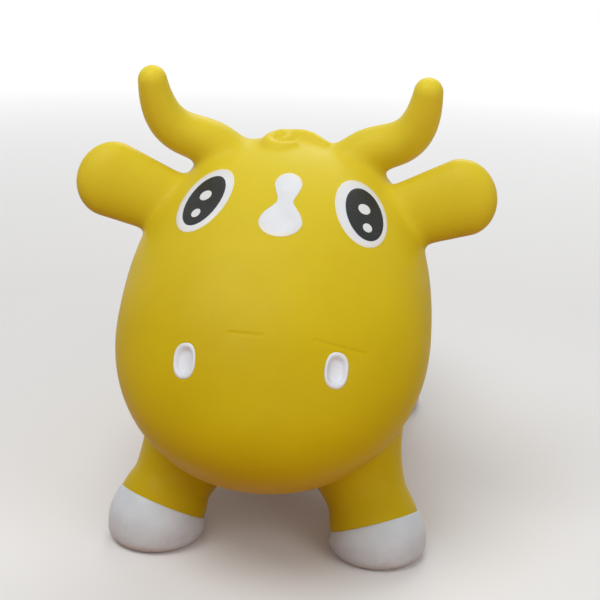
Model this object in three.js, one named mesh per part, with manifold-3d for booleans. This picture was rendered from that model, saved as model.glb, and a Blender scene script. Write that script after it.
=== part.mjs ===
// An inflatable cow hopper: a bouncing ride-on moulded in soft vinyl and blown up with air through a
// push-in plug. Millimetres, +Z up. The cow looks along -Y, its own left is +X, and it stands on Z = 0.

import * as THREE from 'three';
import Module from 'manifold-3d';
import { mergeVertices } from 'three/addons/utils/BufferGeometryUtils.js';

// Skin
const WALL = 1.4;
const SEAT_GAP = 0.3; // between two members that meet
const FILM = 0.5; // thickness of a painted area

// Barrel, the trunk that the rider sits on
const BARREL_LENGTH = 456;
const BARREL_WIDTH = 240;
const BARREL_HEIGHT = 204;
const BARREL_Y = 40;
const BARREL_FULLNESS = 2.5; // 2 is an ellipse, more is squarer
const BELLY_HEIGHT = 60; // above the floor
const SADDLE_DIP = 9;
const SADDLE_Y = 45;
const SADDLE_REACH = 85;

// Head, an egg whose crown leans back
const HEAD_WIDTH = 284;
const MUZZLE_LENGTH = 153; // from the widest place down to the chin
const CROWN_LENGTH = 207; // and up to the crown
const FACE_DEPTH = 82; // from the leaning axis out to the face
const NAPE_DEPTH = 100; // and back to the nape
const HEAD_LEAN_DEG = 49; // from upright
const HEAD_Y = -161;
const HEAD_Z = 204.6;
const MUZZLE_FULLNESS = 2.13;
const CROWN_FULLNESS = 2.29;

// Legs and hooves
const FRONT_HOOF_SPREAD = 208; // left sole to right sole
const REAR_HOOF_SPREAD = 190;
const FRONT_HOOF_Y = -180;
const REAR_HOOF_Y = 176;
const HOOF_DIAMETER = 91;
const HOOF_HEIGHT = 33;
const HOOF_LIP = 1.2; // step of the hoof's rim over the leg
const SOLE_ROUND = 11;
const SOLE_WALL = 3;
const RIM_DIAMETER = 85;
const ANKLE_DIAMETER = 76;
const THIGH_DIAMETER = 128;
const ANKLE_RISE = 24; // narrowest place above the hoof's rim
const KNEE_HEIGHT = 29;
const HIP_SPREAD = 117;
const HIP_HEIGHT = 116;
const HIP_INSET = 55; // a hip stands this far in from its hoof, towards the middle of the barrel

// Places on the head are given by an angle from the chin up to the crown, its rise, and an angle from
// the middle of the face out to the side, its turn.

// Horns, which are the rider's grips. The steps run from the place on the head.
const HORN_RISE_DEG = 139;
const HORN_TURN_DEG = 44;
const HORN_ROOT = new THREE.Vector3(-11, 11, -8);
const HORN_ROOT_PULL = new THREE.Vector3(9, 11, 31);
const HORN_TIP_PULL = new THREE.Vector3(57, 3, -7);
const HORN_TIP = new THREE.Vector3(59, -21, 84);
const HORN_ROOT_DIAMETER = 45;
const HORN_BEND_DIAMETER = 40;
const HORN_TIP_DIAMETER = 27;

// Ears
const EAR_RISE_DEG = 119.6;
const EAR_TURN_DEG = 68.8;
const EAR_ROOT = new THREE.Vector3(-21, 9, -6);
const EAR_TIP = new THREE.Vector3(75, -7, 35);
const EAR_FRONT = new THREE.Vector3(0, -1, 0.35); // the way an ear's flat side looks
const EAR_ROOT_HEIGHT = 58;
const EAR_HEIGHT = 71;
const EAR_THICKNESS = 36;
const EAR_ROUND = 32; // length of its rounded end

// Forelock, a long lock that curls in and a short one behind it. Their points are steps along the skin of
// the crown, to the cow's left and up, from the forelock's middle.
const FORELOCK_RISE_DEG = 147;
const CURLED_LOCK = [[3, -9], [-5, -13], [-14, -11], [-20, -3], [-17, 7], [-8, 9], [-3, 3], [-6, -3]];
const SHORT_LOCK = [[-9, 12], [5, 14], [17, 9], [29, -2]];
const LOCK_LIFT = 0.3; // of a lock's line over the skin, in the forelock's middle
const LOCK_SLOPE = 0.15; // a lock sinks in towards the forehead
const LOCK_DIAMETER = 12.5;
const LOCK_END_DIAMETER = 8;

// Tail
const TAIL_RISE = 44; // root over the middle of the barrel
const TAIL_BURY = 41; // root inside the barrel's rear end
const TAIL_REACH = 7; // bend behind the barrel's rear end
const TAIL_ARCH = 8;
const TAIL_DROP = 68;
const TAIL_DIAMETER = 21;
const TAIL_TUFT_DIAMETER = 30;

// Face
const EYE_RISE_DEG = 113.3;
const EYE_TURN_DEG = 32.8;
const EYE_LENGTH = 80;
const EYE_WIDTH = 49.5;
const EYE_TILT_DEG = 4; // the top leans to the middle
const PUPIL_LENGTH = 62;
const PUPIL_WIDTH = 35.5;
const PUPIL_SHIFT = 1.3; // towards the ear
const UPPER_GLINT_RISE = 4.5; // along the eye, from its middle
const UPPER_GLINT_LENGTH = 12.4;
const UPPER_GLINT_WIDTH = 11.5;
const LOWER_GLINT_DROP = 17;
const LOWER_GLINT_LENGTH = 10;
const LOWER_GLINT_WIDTH = 8.8;
const NOSTRIL_RISE_DEG = 63.5;
const NOSTRIL_TURN_DEG = 30;
const NOSTRIL_LENGTH = 29.5;
const NOSTRIL_WIDTH = 20.5;
const NOSTRIL_TILT_DEG = 10; // the top leans to the middle
const NOSTRIL_DEPTH = 6;
const BLAZE_RISE_DEG = 111.3;
const BLAZE_TURN_DEG = 2.9;
const BLAZE_TOP_WIDTH = 25;
const BLAZE_TOP_HEIGHT = 32;
const BLAZE_NECK_WIDTH = 17;
const BLAZE_FOOT_WIDTH = 39;
const BLAZE_FOOT_HEIGHT = 34;
const BLAZE_LENGTH = 78;
const BLAZE_FOOT_SHIFT = 3; // the foot stands to the cow's right

// Valve in the belly: an insert bonded inside the skin, and the plug pushed into it
const VALVE_Y = 60;
const VALVE_BORE = 11;
const VALVE_NECK_DIAMETER = 20;
const VALVE_NECK_LENGTH = 24;
const VALVE_FLANGE_DIAMETER = 38;
const VALVE_FLANGE_THICKNESS = 2.6;
const PLUG_HEAD_DIAMETER = 18;
const PLUG_HEAD_THICKNESS = 3;
const PLUG_STEM_LENGTH = 19;
const PLUG_TIP_DIAMETER = 7;
const PLUG_GROOVE = 0.8;
const PLUG_RIBS = 2;

// Facets
const BARREL_SIDES = 26;
const BARREL_RINGS = 16;
const HEAD_SIDES = 28;
const HEAD_RINGS = 18;
const LEG_SIDES = 16;
const LEG_RINGS = 7;
const HORN_SIDES = 12;
const HORN_RINGS = 10;
const EAR_SIDES = 14;
const EAR_RINGS = 3;
const LOCK_SIDES = 8;
const LOCK_RINGS = 3; // for each point of a lock
const DOME_RINGS = 3;
const ROUND_SIDES = 20;
const PAINT_SIDES = 16;
const INNER_SHARE = 0.6; // the inside of the skin has this share of the facets

const VINYL = { color: 0xd2b418, roughness: 0.5, metalness: 0 };
const WHITE_PAINT = { color: 0xe8e6e4, roughness: 0.45, metalness: 0 };
const BLACK_PAINT = { color: 0x2b2d2e, roughness: 0.4, metalness: 0 };
const VALVE_PLASTIC = { color: 0xf0efe9, roughness: 0.4, metalness: 0 };

const wasm = await Module();
wasm.setup();

const X_AXIS = new THREE.Vector3(1, 0, 0);
const Y_AXIS = new THREE.Vector3(0, 1, 0);
const radians = THREE.MathUtils.degToRad;

// Geometry to solid and back

function toSolid(geometry) {
  const bare = new THREE.BufferGeometry();
  bare.setAttribute('position', geometry.getAttribute('position'));
  bare.setIndex(geometry.getIndex());
  const merged = mergeVertices(bare);
  return new wasm.Manifold(new wasm.Mesh({
    numProp: 3,
    vertProperties: merged.getAttribute('position').array,
    triVerts: new Uint32Array(merged.getIndex().array),
  }));
}

function toGeometry(solid) {
  const { vertProperties, triVerts } = solid.getMesh();
  const geometry = new THREE.BufferGeometry();
  geometry.setAttribute('position', new THREE.BufferAttribute(vertProperties, 3));
  geometry.setIndex(new THREE.BufferAttribute(triVerts, 1));
  return geometry;
}

// Cutting can leave loose offcuts; the piece itself is the largest body.
function largestBody(solid) {
  return solid.decompose().reduce((best, body) => (body.volume() > best.volume() ? body : best));
}

// Lofts

// A closed solid through rings of points that run anticlockwise about the way they follow each other.
// A ring of one point is a pole, and an end ring of several points is closed flat.
function loft(rings) {
  const middle = (ring) => ring.reduce((sum, p) => sum.add(p), new THREE.Vector3()).divideScalar(ring.length);
  const closed = [[middle(rings[0])], ...rings.filter((ring) => ring.length > 1), [middle(rings.at(-1))]];
  const starts = [];
  const points = [];
  for (const ring of closed) {
    starts.push(points.length);
    points.push(...ring);
  }
  const faces = [];
  for (let i = 0; i + 1 < closed.length; i++) {
    const [near, far] = [closed[i].length, closed[i + 1].length];
    const sides = Math.max(near, far);
    for (let j = 0; j < sides; j++) {
      const a = starts[i] + (j % near);
      const b = starts[i] + ((j + 1) % near);
      const c = starts[i + 1] + ((j + 1) % far);
      const d = starts[i + 1] + (j % far);
      if (near > 1) faces.push(a, b, far > 1 ? c : d);
      if (far > 1) faces.push(a, c, d);
    }
  }
  const geometry = new THREE.BufferGeometry().setFromPoints(points);
  geometry.setIndex(faces);
  return toSolid(geometry);
}

// A tube along a spine. Each station has a distance along the spine and two half sizes: across, and
// along the flat direction. A station past the spine's end runs straight on.
function tube(spine, stations, sides, flat = Y_AXIS) {
  const length = spine.getLength();
  return loft(stations.map(({ at, across, thick = across }) => {
    const share = THREE.MathUtils.clamp(at / length, 0, 1);
    const tangent = spine.getTangentAt(share);
    const centre = spine.getPointAt(share).addScaledVector(tangent, at - share * length);
    const v = flat.clone().addScaledVector(tangent, -flat.dot(tangent)).normalize();
    const u = v.clone().cross(tangent);
    return Array.from({ length: sides }, (_, j) => {
      const angle = (2 * Math.PI * j) / sides;
      return centre.clone()
        .addScaledVector(u, across * Math.cos(angle))
        .addScaledVector(v, thick * Math.sin(angle));
    });
  }));
}

// Stations of a smooth profile through a few [distance, half size] points.
function profile(points, count) {
  const curve = new THREE.SplineCurve(points.map(([at, across]) => new THREE.Vector2(at, across)));
  return curve.getPoints(count).map(({ x, y }) => ({ at: x, across: y }));
}

// Stations that round off a tube's end: a quarter ellipse of the given reach.
function dome(start, reach, across, thick = across) {
  return Array.from({ length: DOME_RINGS }, (_, i) => {
    const turn = (Math.PI / 2) * ((i + 0.75) / DOME_RINGS);
    const shrink = Math.cos(turn);
    return { at: start + reach * Math.sin(turn), across: across * shrink, thick: thick * shrink };
  });
}

// Every station's half sizes less the skin's wall.
function inset(stations, wall) {
  const least = wall / 2;
  return stations.map(({ at, across, thick = across }) => ({
    at,
    across: Math.max(across - wall, least),
    thick: Math.max(thick - wall, least),
  }));
}

// A superellipse from one pole, at a turn of 0, to the other, at PI.
function superellipse(turn, fullness) {
  const cosine = Math.cos(turn);
  return {
    along: -Math.sign(cosine) * Math.abs(cosine) ** (2 / fullness),
    across: Math.max(Math.sin(turn), 0) ** (2 / fullness),
  };
}

function eggSolid(pointAt, rings, sides) {
  return loft(Array.from({ length: rings + 1 }, (_, i) => {
    const pole = i === 0 || i === rings;
    return Array.from({ length: pole ? 1 : sides }, (_, j) => (
      pointAt((Math.PI * i) / rings, (2 * Math.PI * j) / sides)
    ));
  }));
}

// Barrel

// grow moves the whole surface out: a clearance, or minus the wall.
function barrelPoint(turn, angle, grow) {
  const { along, across } = superellipse(turn, BARREL_FULLNESS);
  const y = BARREL_Y + along * (BARREL_LENGTH / 2 + grow);
  const dip = SADDLE_DIP * Math.exp(-(((y - SADDLE_Y) / SADDLE_REACH) ** 2));
  const halfHeight = BARREL_HEIGHT / 2 + grow - (Math.cos(angle) > 0 ? dip : 0);
  const halfWidth = BARREL_WIDTH / 2 + grow;
  return new THREE.Vector3(
    halfWidth * across * Math.sin(angle),
    y,
    BELLY_HEIGHT + BARREL_HEIGHT / 2 + halfHeight * across * Math.cos(angle),
  );
}

function barrelSolid(grow, share = 1) {
  return eggSolid(
    (turn, angle) => barrelPoint(turn, angle, grow),
    Math.round(BARREL_RINGS * share),
    Math.round(BARREL_SIDES * share),
  );
}

// Head

const headLean = radians(HEAD_LEAN_DEG);
const headAxis = new THREE.Vector3(0, Math.sin(headLean), Math.cos(headLean));
const headBack = new THREE.Vector3(0, Math.cos(headLean), -Math.sin(headLean));
const headCentre = new THREE.Vector3(0, HEAD_Y, HEAD_Z);
const FACE_MIDDLE = -Math.PI / 2; // the angle about the head's axis that looks forward

function headPoint(turn, angle, grow) {
  const muzzle = turn < Math.PI / 2;
  const { along, across } = superellipse(turn, muzzle ? MUZZLE_FULLNESS : CROWN_FULLNESS);
  const length = muzzle ? MUZZLE_LENGTH : CROWN_LENGTH;
  const depth = Math.sin(angle) < 0 ? FACE_DEPTH : NAPE_DEPTH;
  return headCentre.clone()
    .addScaledVector(headAxis, (length + grow) * along)
    .addScaledVector(X_AXIS, (HEAD_WIDTH / 2 + grow) * across * Math.cos(angle))
    .addScaledVector(headBack, (depth + grow) * across * Math.sin(angle));
}

function headSolid(grow, share = 1) {
  return eggSolid(
    (turn, angle) => headPoint(turn, angle, grow),
    Math.round(HEAD_RINGS * share),
    Math.round(HEAD_SIDES * share),
  );
}

// A place on the face: +Z looks out of the skin, +Y up the face and +X to the cow's left.
function facePlace(rise, turn) {
  const step = 0.01;
  const [up, round] = [radians(rise), FACE_MIDDLE + radians(turn)];
  const point = headPoint(up, round, 0);
  const upward = headPoint(up + step, round, 0).sub(headPoint(up - step, round, 0));
  const sideways = headPoint(up, round + step, 0).sub(headPoint(up, round - step, 0));
  const out = sideways.clone().cross(upward).normalize();
  upward.addScaledVector(out, -upward.dot(out)).normalize();
  return new THREE.Matrix4().makeBasis(upward.clone().cross(out), upward, out).setPosition(point);
}

// A prism of a flat outline that stands on a place of the face, from a depth to a height.
function facePrism(place, outline, depth, height) {
  const geometry = new THREE.ExtrudeGeometry(outline, {
    depth: depth + height,
    bevelEnabled: false,
    curveSegments: PAINT_SIDES / 2,
  });
  return toSolid(geometry.translate(0, 0, -depth).applyMatrix4(place));
}

function ovalOutline(width, length, x = 0, y = 0, tilt = 0) {
  const outline = new THREE.Shape();
  outline.absellipse(x, y, width / 2, length / 2, 0, 2 * Math.PI, false, tilt);
  return outline;
}

// Legs

const hoofRadius = HOOF_DIAMETER / 2;
const rimRadius = RIM_DIAMETER / 2;

// A leg stands straight over its flat sole, then leans in to the hip.
function legSpine(side, end) {
  const [y, spread] = end < 0 ? [FRONT_HOOF_Y, FRONT_HOOF_SPREAD] : [REAR_HOOF_Y, REAR_HOOF_SPREAD];
  const sole = new THREE.Vector3((side * spread) / 2, y, 0);
  const coffin = sole.clone().setZ(SOLE_ROUND);
  const knee = sole.clone().setZ(KNEE_HEIGHT);
  const hip = new THREE.Vector3((side * HIP_SPREAD) / 2, y - end * HIP_INSET, HIP_HEIGHT);
  const spine = new THREE.CurvePath();
  spine.add(new THREE.LineCurve3(sole, coffin));
  spine.add(new THREE.QuadraticBezierCurve3(coffin, knee, hip));
  return spine;
}

function hoofStations() {
  const edge = [0, 0.35, 0.7].map((share) => {
    const turn = (share * Math.PI) / 2;
    return {
      at: SOLE_ROUND * (1 - Math.cos(turn)),
      across: hoofRadius - SOLE_ROUND + SOLE_ROUND * Math.sin(turn),
    };
  });
  const bulge = SOLE_ROUND + (HOOF_HEIGHT - SOLE_ROUND) / 3;
  const side = profile([[SOLE_ROUND, hoofRadius - 0.4], [bulge, hoofRadius], [HOOF_HEIGHT, rimRadius]], 3);
  return [...edge, ...side];
}

// A leg swells to the thigh and ends round at the hip.
function legStations(length) {
  const start = HOOF_HEIGHT + SEAT_GAP;
  const ankle = start + ANKLE_RISE;
  const thigh = THIGH_DIAMETER / 2;
  const shaft = profile([
    [start, rimRadius - HOOF_LIP],
    [ankle, ANKLE_DIAMETER / 2],
    [(ankle + length) / 2, (ANKLE_DIAMETER + THIGH_DIAMETER) / 4 - 4],
    [length, thigh],
  ], LEG_RINGS);
  return [...shaft, ...dome(length, thigh, thigh)];
}

// The air space of a leg, from just over the sole up into the trunk.
function legCavity(side, end) {
  const spine = legSpine(side, end);
  const length = spine.getLength();
  const floor = { at: SOLE_WALL, across: hoofRadius - SOLE_ROUND - WALL };
  const shell = [...hoofStations(), ...legStations(length)].filter(({ at }) => at > SOLE_WALL + WALL);
  const open = shell.filter((_, i) => i % 2 === 0 || i === shell.length - 1);
  return tube(spine, [floor, ...inset(open, WALL + HOOF_LIP)], Math.round(LEG_SIDES * INNER_SHARE));
}

// Horns, ears, tail and forelock

// A step from a place on the head, mirrored for the right side.
function headStep(rise, turn, side, step) {
  const place = headPoint(radians(rise), FACE_MIDDLE + radians(turn), 0).add(step);
  return new THREE.Vector3(side * place.x, place.y, place.z);
}

function hornSpine(side) {
  return new THREE.CubicBezierCurve3(
    ...[HORN_ROOT, HORN_ROOT_PULL, HORN_TIP_PULL, HORN_TIP]
      .map((step) => headStep(HORN_RISE_DEG, HORN_TURN_DEG, side, step)),
  );
}

function hornStations(length) {
  const tip = HORN_TIP_DIAMETER / 2;
  const straight = length - tip;
  const shaft = profile([
    [0, HORN_ROOT_DIAMETER / 2],
    [straight / 2, HORN_BEND_DIAMETER / 2],
    [straight, tip],
  ], HORN_RINGS);
  return [...shaft, ...dome(straight, tip, tip)];
}

function earSpine(side) {
  return new THREE.LineCurve3(
    ...[EAR_ROOT, EAR_TIP].map((step) => headStep(EAR_RISE_DEG, EAR_TURN_DEG, side, step)),
  );
}

function earStations(length) {
  const straight = length - EAR_ROUND;
  const half = EAR_THICKNESS / 2;
  const paddle = profile([[0, EAR_ROOT_HEIGHT / 2], [straight, EAR_HEIGHT / 2]], EAR_RINGS);
  return [
    ...paddle.map((station) => ({ ...station, thick: half })),
    ...dome(straight, EAR_ROUND, EAR_HEIGHT / 2, half),
  ];
}

function tailSpine() {
  const rear = BARREL_Y + BARREL_LENGTH / 2;
  const root = BELLY_HEIGHT + BARREL_HEIGHT / 2 + TAIL_RISE;
  return new THREE.CubicBezierCurve3(
    new THREE.Vector3(0, rear - TAIL_BURY, root),
    new THREE.Vector3(0, rear + TAIL_REACH, root + TAIL_ARCH),
    new THREE.Vector3(0, rear + TAIL_REACH, root - TAIL_DROP / 2),
    new THREE.Vector3(0, rear + TAIL_REACH, root - TAIL_DROP),
  );
}

function tailStations(length) {
  const [slim, tuft] = [TAIL_DIAMETER / 2, TAIL_TUFT_DIAMETER / 2];
  const straight = length - tuft;
  const shaft = profile([[0, slim], [straight / 2, slim], [straight, tuft]], HORN_RINGS);
  return [...shaft, ...dome(straight, tuft, tuft)];
}

// A place on the crown, in steps along the skin from the forelock's middle, with the way out of the skin.
function crownPlace(x, y) {
  const [rise, step] = [radians(FORELOCK_RISE_DEG), 0.01];
  const at = (up, round) => headPoint(rise + up, FACE_MIDDLE + round, 0);
  const risePace = at(step, 0).distanceTo(at(0, 0)) / step;
  const turnPace = at(0, step).distanceTo(at(0, 0)) / step;
  const [up, round] = [y / risePace, x / turnPace];
  const out = at(up, round + step).sub(at(up, round)).cross(at(up + step, round).sub(at(up, round)));
  return { point: at(up, round), out: out.normalize() };
}

// A lock is thickest half-way. It lies about half sunk in the skin.
function lockSolid(steps) {
  const spine = new THREE.CatmullRomCurve3(steps.map(([x, y]) => {
    const { point, out } = crownPlace(x, y);
    return point.addScaledVector(out, LOCK_LIFT + LOCK_SLOPE * y);
  }));
  const [half, end] = [LOCK_DIAMETER / 2, LOCK_END_DIAMETER / 2];
  const straight = spine.getLength() - end;
  const shaft = profile([[0, end], [straight / 2, half], [straight, end]], LOCK_RINGS * steps.length);
  return tube(spine, [...shaft, ...dome(straight, end, end)], LOCK_SIDES, crownPlace(0, 0).out);
}

// Valve

function revolve(outline) {
  const points = outline.map(([radius, height]) => new THREE.Vector2(radius, height));
  const turned = new THREE.LatheGeometry(points, ROUND_SIDES).rotateX(Math.PI / 2);
  return toSolid(turned.translate(0, VALVE_Y, BELLY_HEIGHT));
}

const plugFace = -SEAT_GAP; // the plug's head bears on the insert's mouth, which is flush with the belly
const neckRadius = VALVE_NECK_DIAMETER / 2;

function valveSeatSolid() {
  const bore = VALVE_BORE / 2;
  const flange = VALVE_FLANGE_DIAMETER / 2;
  const reach = BARREL_HEIGHT / 4; // the flange is cut from a disc this thick by the skin's inner surface
  const ring = (radius, height) => revolve([[bore, 0], [radius, 0], [radius, height], [bore, height], [bore, 0]]);
  const neck = ring(neckRadius, VALVE_NECK_LENGTH);
  const disc = ring(flange, reach);
  const bonded = disc
    .intersect(barrelSolid(-WALL - SEAT_GAP, INNER_SHARE))
    .subtract(barrelSolid(-WALL - SEAT_GAP - VALVE_FLANGE_THICKNESS, INNER_SHARE));
  return neck.add(bonded);
}

function plugOutline() {
  const head = PLUG_HEAD_DIAMETER / 2;
  const stem = VALVE_BORE / 2 - SEAT_GAP;
  const rib = PLUG_STEM_LENGTH / (2 * PLUG_RIBS + 1);
  const outline = [[0, plugFace - PLUG_HEAD_THICKNESS], [head - 1.5, plugFace - PLUG_HEAD_THICKNESS]];
  outline.push([head, plugFace - PLUG_HEAD_THICKNESS / 2], [head, plugFace], [stem, plugFace]);
  for (let i = 1; i <= PLUG_RIBS; i++) {
    const [low, high] = [plugFace + rib * (2 * i - 1), plugFace + rib * 2 * i];
    outline.push([stem, low], [stem - PLUG_GROOVE, low], [stem - PLUG_GROOVE, high], [stem, high]);
  }
  outline.push([PLUG_TIP_DIAMETER / 2, plugFace + PLUG_STEM_LENGTH], [0, plugFace + PLUG_STEM_LENGTH]);
  return outline;
}

// Assembly

const hopper = new THREE.Group();

function addPiece(name, solid, finish) {
  const mesh = new THREE.Mesh(toGeometry(solid), new THREE.MeshStandardMaterial(finish));
  mesh.name = name;
  hopper.add(mesh);
}

const SIDES = [['left', 1], ['right', -1]];
const ENDS = [['front', -1], ['rear', 1]];

const trunkSeat = barrelSolid(SEAT_GAP);
const headSeat = headSolid(SEAT_GAP);
const clearOfTrunk = (solid) => largestBody(solid.subtract(trunkSeat).subtract(headSeat));

const headCavity = headSolid(-WALL, INNER_SHARE);
let barrelSkin = barrelSolid(0).subtract(barrelSolid(-WALL, INNER_SHARE)).subtract(headCavity);
let headSkin = headSolid(0).subtract(headCavity).subtract(trunkSeat);

// A hollow limb seats on the trunk, and its air space opens through the trunk's wall.
function addHollowLimb(name, outer, cavity) {
  addPiece(name, clearOfTrunk(outer.subtract(cavity)), VINYL);
  barrelSkin = barrelSkin.subtract(cavity);
  headSkin = headSkin.subtract(cavity);
}

const hornSeats = [];

for (const [sideName, side] of SIDES) {
  for (const [endName, end] of ENDS) {
    const spine = legSpine(side, end);
    const cavity = legCavity(side, end);
    const leg = tube(spine, legStations(spine.getLength()), LEG_SIDES);
    addHollowLimb(`leg_${endName}_${sideName}`, leg, cavity);
    const hoof = tube(spine, hoofStations(), LEG_SIDES).subtract(cavity);
    addPiece(`hoof_${endName}_${sideName}`, hoof, WHITE_PAINT);
  }

  const horn = hornSpine(side);
  const hornShape = hornStations(horn.getLength());
  const hornInside = inset(hornShape.slice(0, HORN_RINGS), WALL);
  const hornCavity = tube(horn, hornInside, Math.round(HORN_SIDES * INNER_SHARE));
  addHollowLimb(`horn_${sideName}`, tube(horn, hornShape, HORN_SIDES), hornCavity);
  hornSeats.push(tube(horn, inset(hornShape, -SEAT_GAP), HORN_SIDES));

  const ear = earSpine(side);
  const earShape = earStations(ear.getLength());
  const earInside = inset(earShape.slice(0, -1), WALL);
  const earCavity = tube(ear, earInside, Math.round(EAR_SIDES * INNER_SHARE), EAR_FRONT);
  addHollowLimb(`ear_${sideName}`, tube(ear, earShape, EAR_SIDES, EAR_FRONT), earCavity);
}

const tail = tailSpine();
addPiece('tail', clearOfTrunk(tube(tail, tailStations(tail.getLength()), HORN_SIDES, X_AXIS)), VINYL);

const tuft = lockSolid(CURLED_LOCK).add(lockSolid(SHORT_LOCK));
addPiece('forelock', clearOfTrunk(hornSeats.reduce((rest, horn) => rest.subtract(horn), tuft)), VINYL);

// Painted areas are a film that follows the skin, cut out by the outline of each area.
const paint = headSolid(SEAT_GAP + FILM).subtract(headSeat);
const PRISM_REACH = FACE_DEPTH / 2;

function paintArea(place, outline) {
  return paint.intersect(facePrism(place, outline, PRISM_REACH, PRISM_REACH));
}

for (const [sideName, side] of SIDES) {
  const place = facePlace(EYE_RISE_DEG, side * EYE_TURN_DEG);
  const tilt = side * radians(EYE_TILT_DEG);
  const oval = (width, length, along = 0, out = side * PUPIL_SHIFT) => (
    ovalOutline(width, length, out - Math.sin(tilt) * along, Math.cos(tilt) * along, tilt)
  );
  const cut = (outline) => facePrism(place, outline, PRISM_REACH, PRISM_REACH);
  const clearance = 2 * SEAT_GAP;
  let pupil = paintArea(place, oval(PUPIL_WIDTH, PUPIL_LENGTH));
  for (const [name, along, length, width] of [
    ['upper', UPPER_GLINT_RISE, UPPER_GLINT_LENGTH, UPPER_GLINT_WIDTH],
    ['lower', -LOWER_GLINT_DROP, LOWER_GLINT_LENGTH, LOWER_GLINT_WIDTH],
  ]) {
    pupil = pupil.subtract(cut(oval(width + clearance, length + clearance, along)));
    addPiece(`eye_glint_${name}_${sideName}`, paintArea(place, oval(width, length, along)), WHITE_PAINT);
  }
  addPiece(`pupil_${sideName}`, pupil, BLACK_PAINT);
  const ring = paintArea(place, oval(EYE_WIDTH, EYE_LENGTH, 0, 0))
    .subtract(cut(oval(PUPIL_WIDTH + clearance, PUPIL_LENGTH + clearance)));
  addPiece(`eye_white_${sideName}`, ring, WHITE_PAINT);
}

// The blaze: a round top, a drawn-in neck and a wider foot.
function blazeOutline() {
  const [topX, topY] = [BLAZE_TOP_WIDTH / 2, BLAZE_TOP_HEIGHT / 2];
  const [footX, footY] = [BLAZE_FOOT_WIDTH / 2, BLAZE_FOOT_HEIGHT / 2];
  const top = BLAZE_LENGTH / 2 - topY;
  const foot = footY - BLAZE_LENGTH / 2;
  const neck = (top - topY + foot + footY) / 2;
  const ovalAt = (middle, x, halfX, halfY, from, to, count) => Array.from({ length: count }, (_, i) => {
    const turn = radians(from + ((to - from) * i) / (count - 1));
    return new THREE.Vector2(x + halfX * Math.sin(turn), middle + halfY * Math.cos(turn));
  });
  const outline = [
    ...ovalAt(top, 0, topX, topY, 125, -125, 7),
    new THREE.Vector2(-BLAZE_NECK_WIDTH / 2, neck),
    ...ovalAt(foot, -BLAZE_FOOT_SHIFT, footX, footY, -60, -300, 7),
    new THREE.Vector2(BLAZE_NECK_WIDTH / 2, neck),
  ];
  const curve = new THREE.CatmullRomCurve3(outline.map(({ x, y }) => new THREE.Vector3(x, y, 0)), true);
  return new THREE.Shape(curve.getPoints(2 * PAINT_SIDES).slice(1).map(({ x, y }) => new THREE.Vector2(x, y)));
}

addPiece('blaze', paintArea(facePlace(BLAZE_RISE_DEG, BLAZE_TURN_DEG), blazeOutline()), WHITE_PAINT);

// Nostrils: the skin dips in, and a painted cup lines the dip.
for (const [sideName, side] of SIDES) {
  const place = facePlace(NOSTRIL_RISE_DEG, side * NOSTRIL_TURN_DEG);
  const tilt = side * radians(NOSTRIL_TILT_DEG);
  const pocket = (shrink, depth) => facePrism(
    place, ovalOutline(NOSTRIL_WIDTH - 2 * shrink, NOSTRIL_LENGTH - 2 * shrink, 0, 0, tilt), depth, PRISM_REACH,
  );
  const boss = pocket(-WALL, NOSTRIL_DEPTH + WALL).intersect(headSolid(0));
  headSkin = headSkin.add(boss).subtract(pocket(0, NOSTRIL_DEPTH));
  const cup = pocket(SEAT_GAP, NOSTRIL_DEPTH - SEAT_GAP)
    .subtract(pocket(SEAT_GAP + WALL / 2, NOSTRIL_DEPTH - SEAT_GAP - FILM))
    .intersect(headSolid(FILM));
  addPiece(`nostril_${sideName}`, cup, WHITE_PAINT);
}

const valveHole = revolve([
  [0, -BELLY_HEIGHT / 2], [neckRadius + SEAT_GAP, -BELLY_HEIGHT / 2],
  [neckRadius + SEAT_GAP, VALVE_NECK_LENGTH], [0, VALVE_NECK_LENGTH],
]);
addPiece('barrel_skin', largestBody(barrelSkin.subtract(valveHole)), VINYL);
addPiece('head_skin', largestBody(headSkin), VINYL);
addPiece('valve_seat', valveSeatSolid(), VALVE_PLASTIC);
addPiece('valve_plug', revolve(plugOutline()), VALVE_PLASTIC);

// The origin is on the floor, in the middle of the hopper's length.
const reach = new THREE.Box3().setFromObject(hopper);
hopper.position.y = -(reach.min.y + reach.max.y) / 2;

export default hopper;
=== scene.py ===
# %% [markdown]
# # An inflatable cow hopper
# The hopper is one hollow skin of soft yellow vinyl, blown up hard enough to ride on. Hooves, eyes,
# nostrils and blaze are painted on it, and a plug in the belly keeps the air in. This lesson dresses a
# packed model of it, which gives the places, the moving plug and the overall size.

# %% Load the packed model
import math

import bmesh
import bpy
import numpy as np
from mathutils import Matrix, Vector


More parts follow.
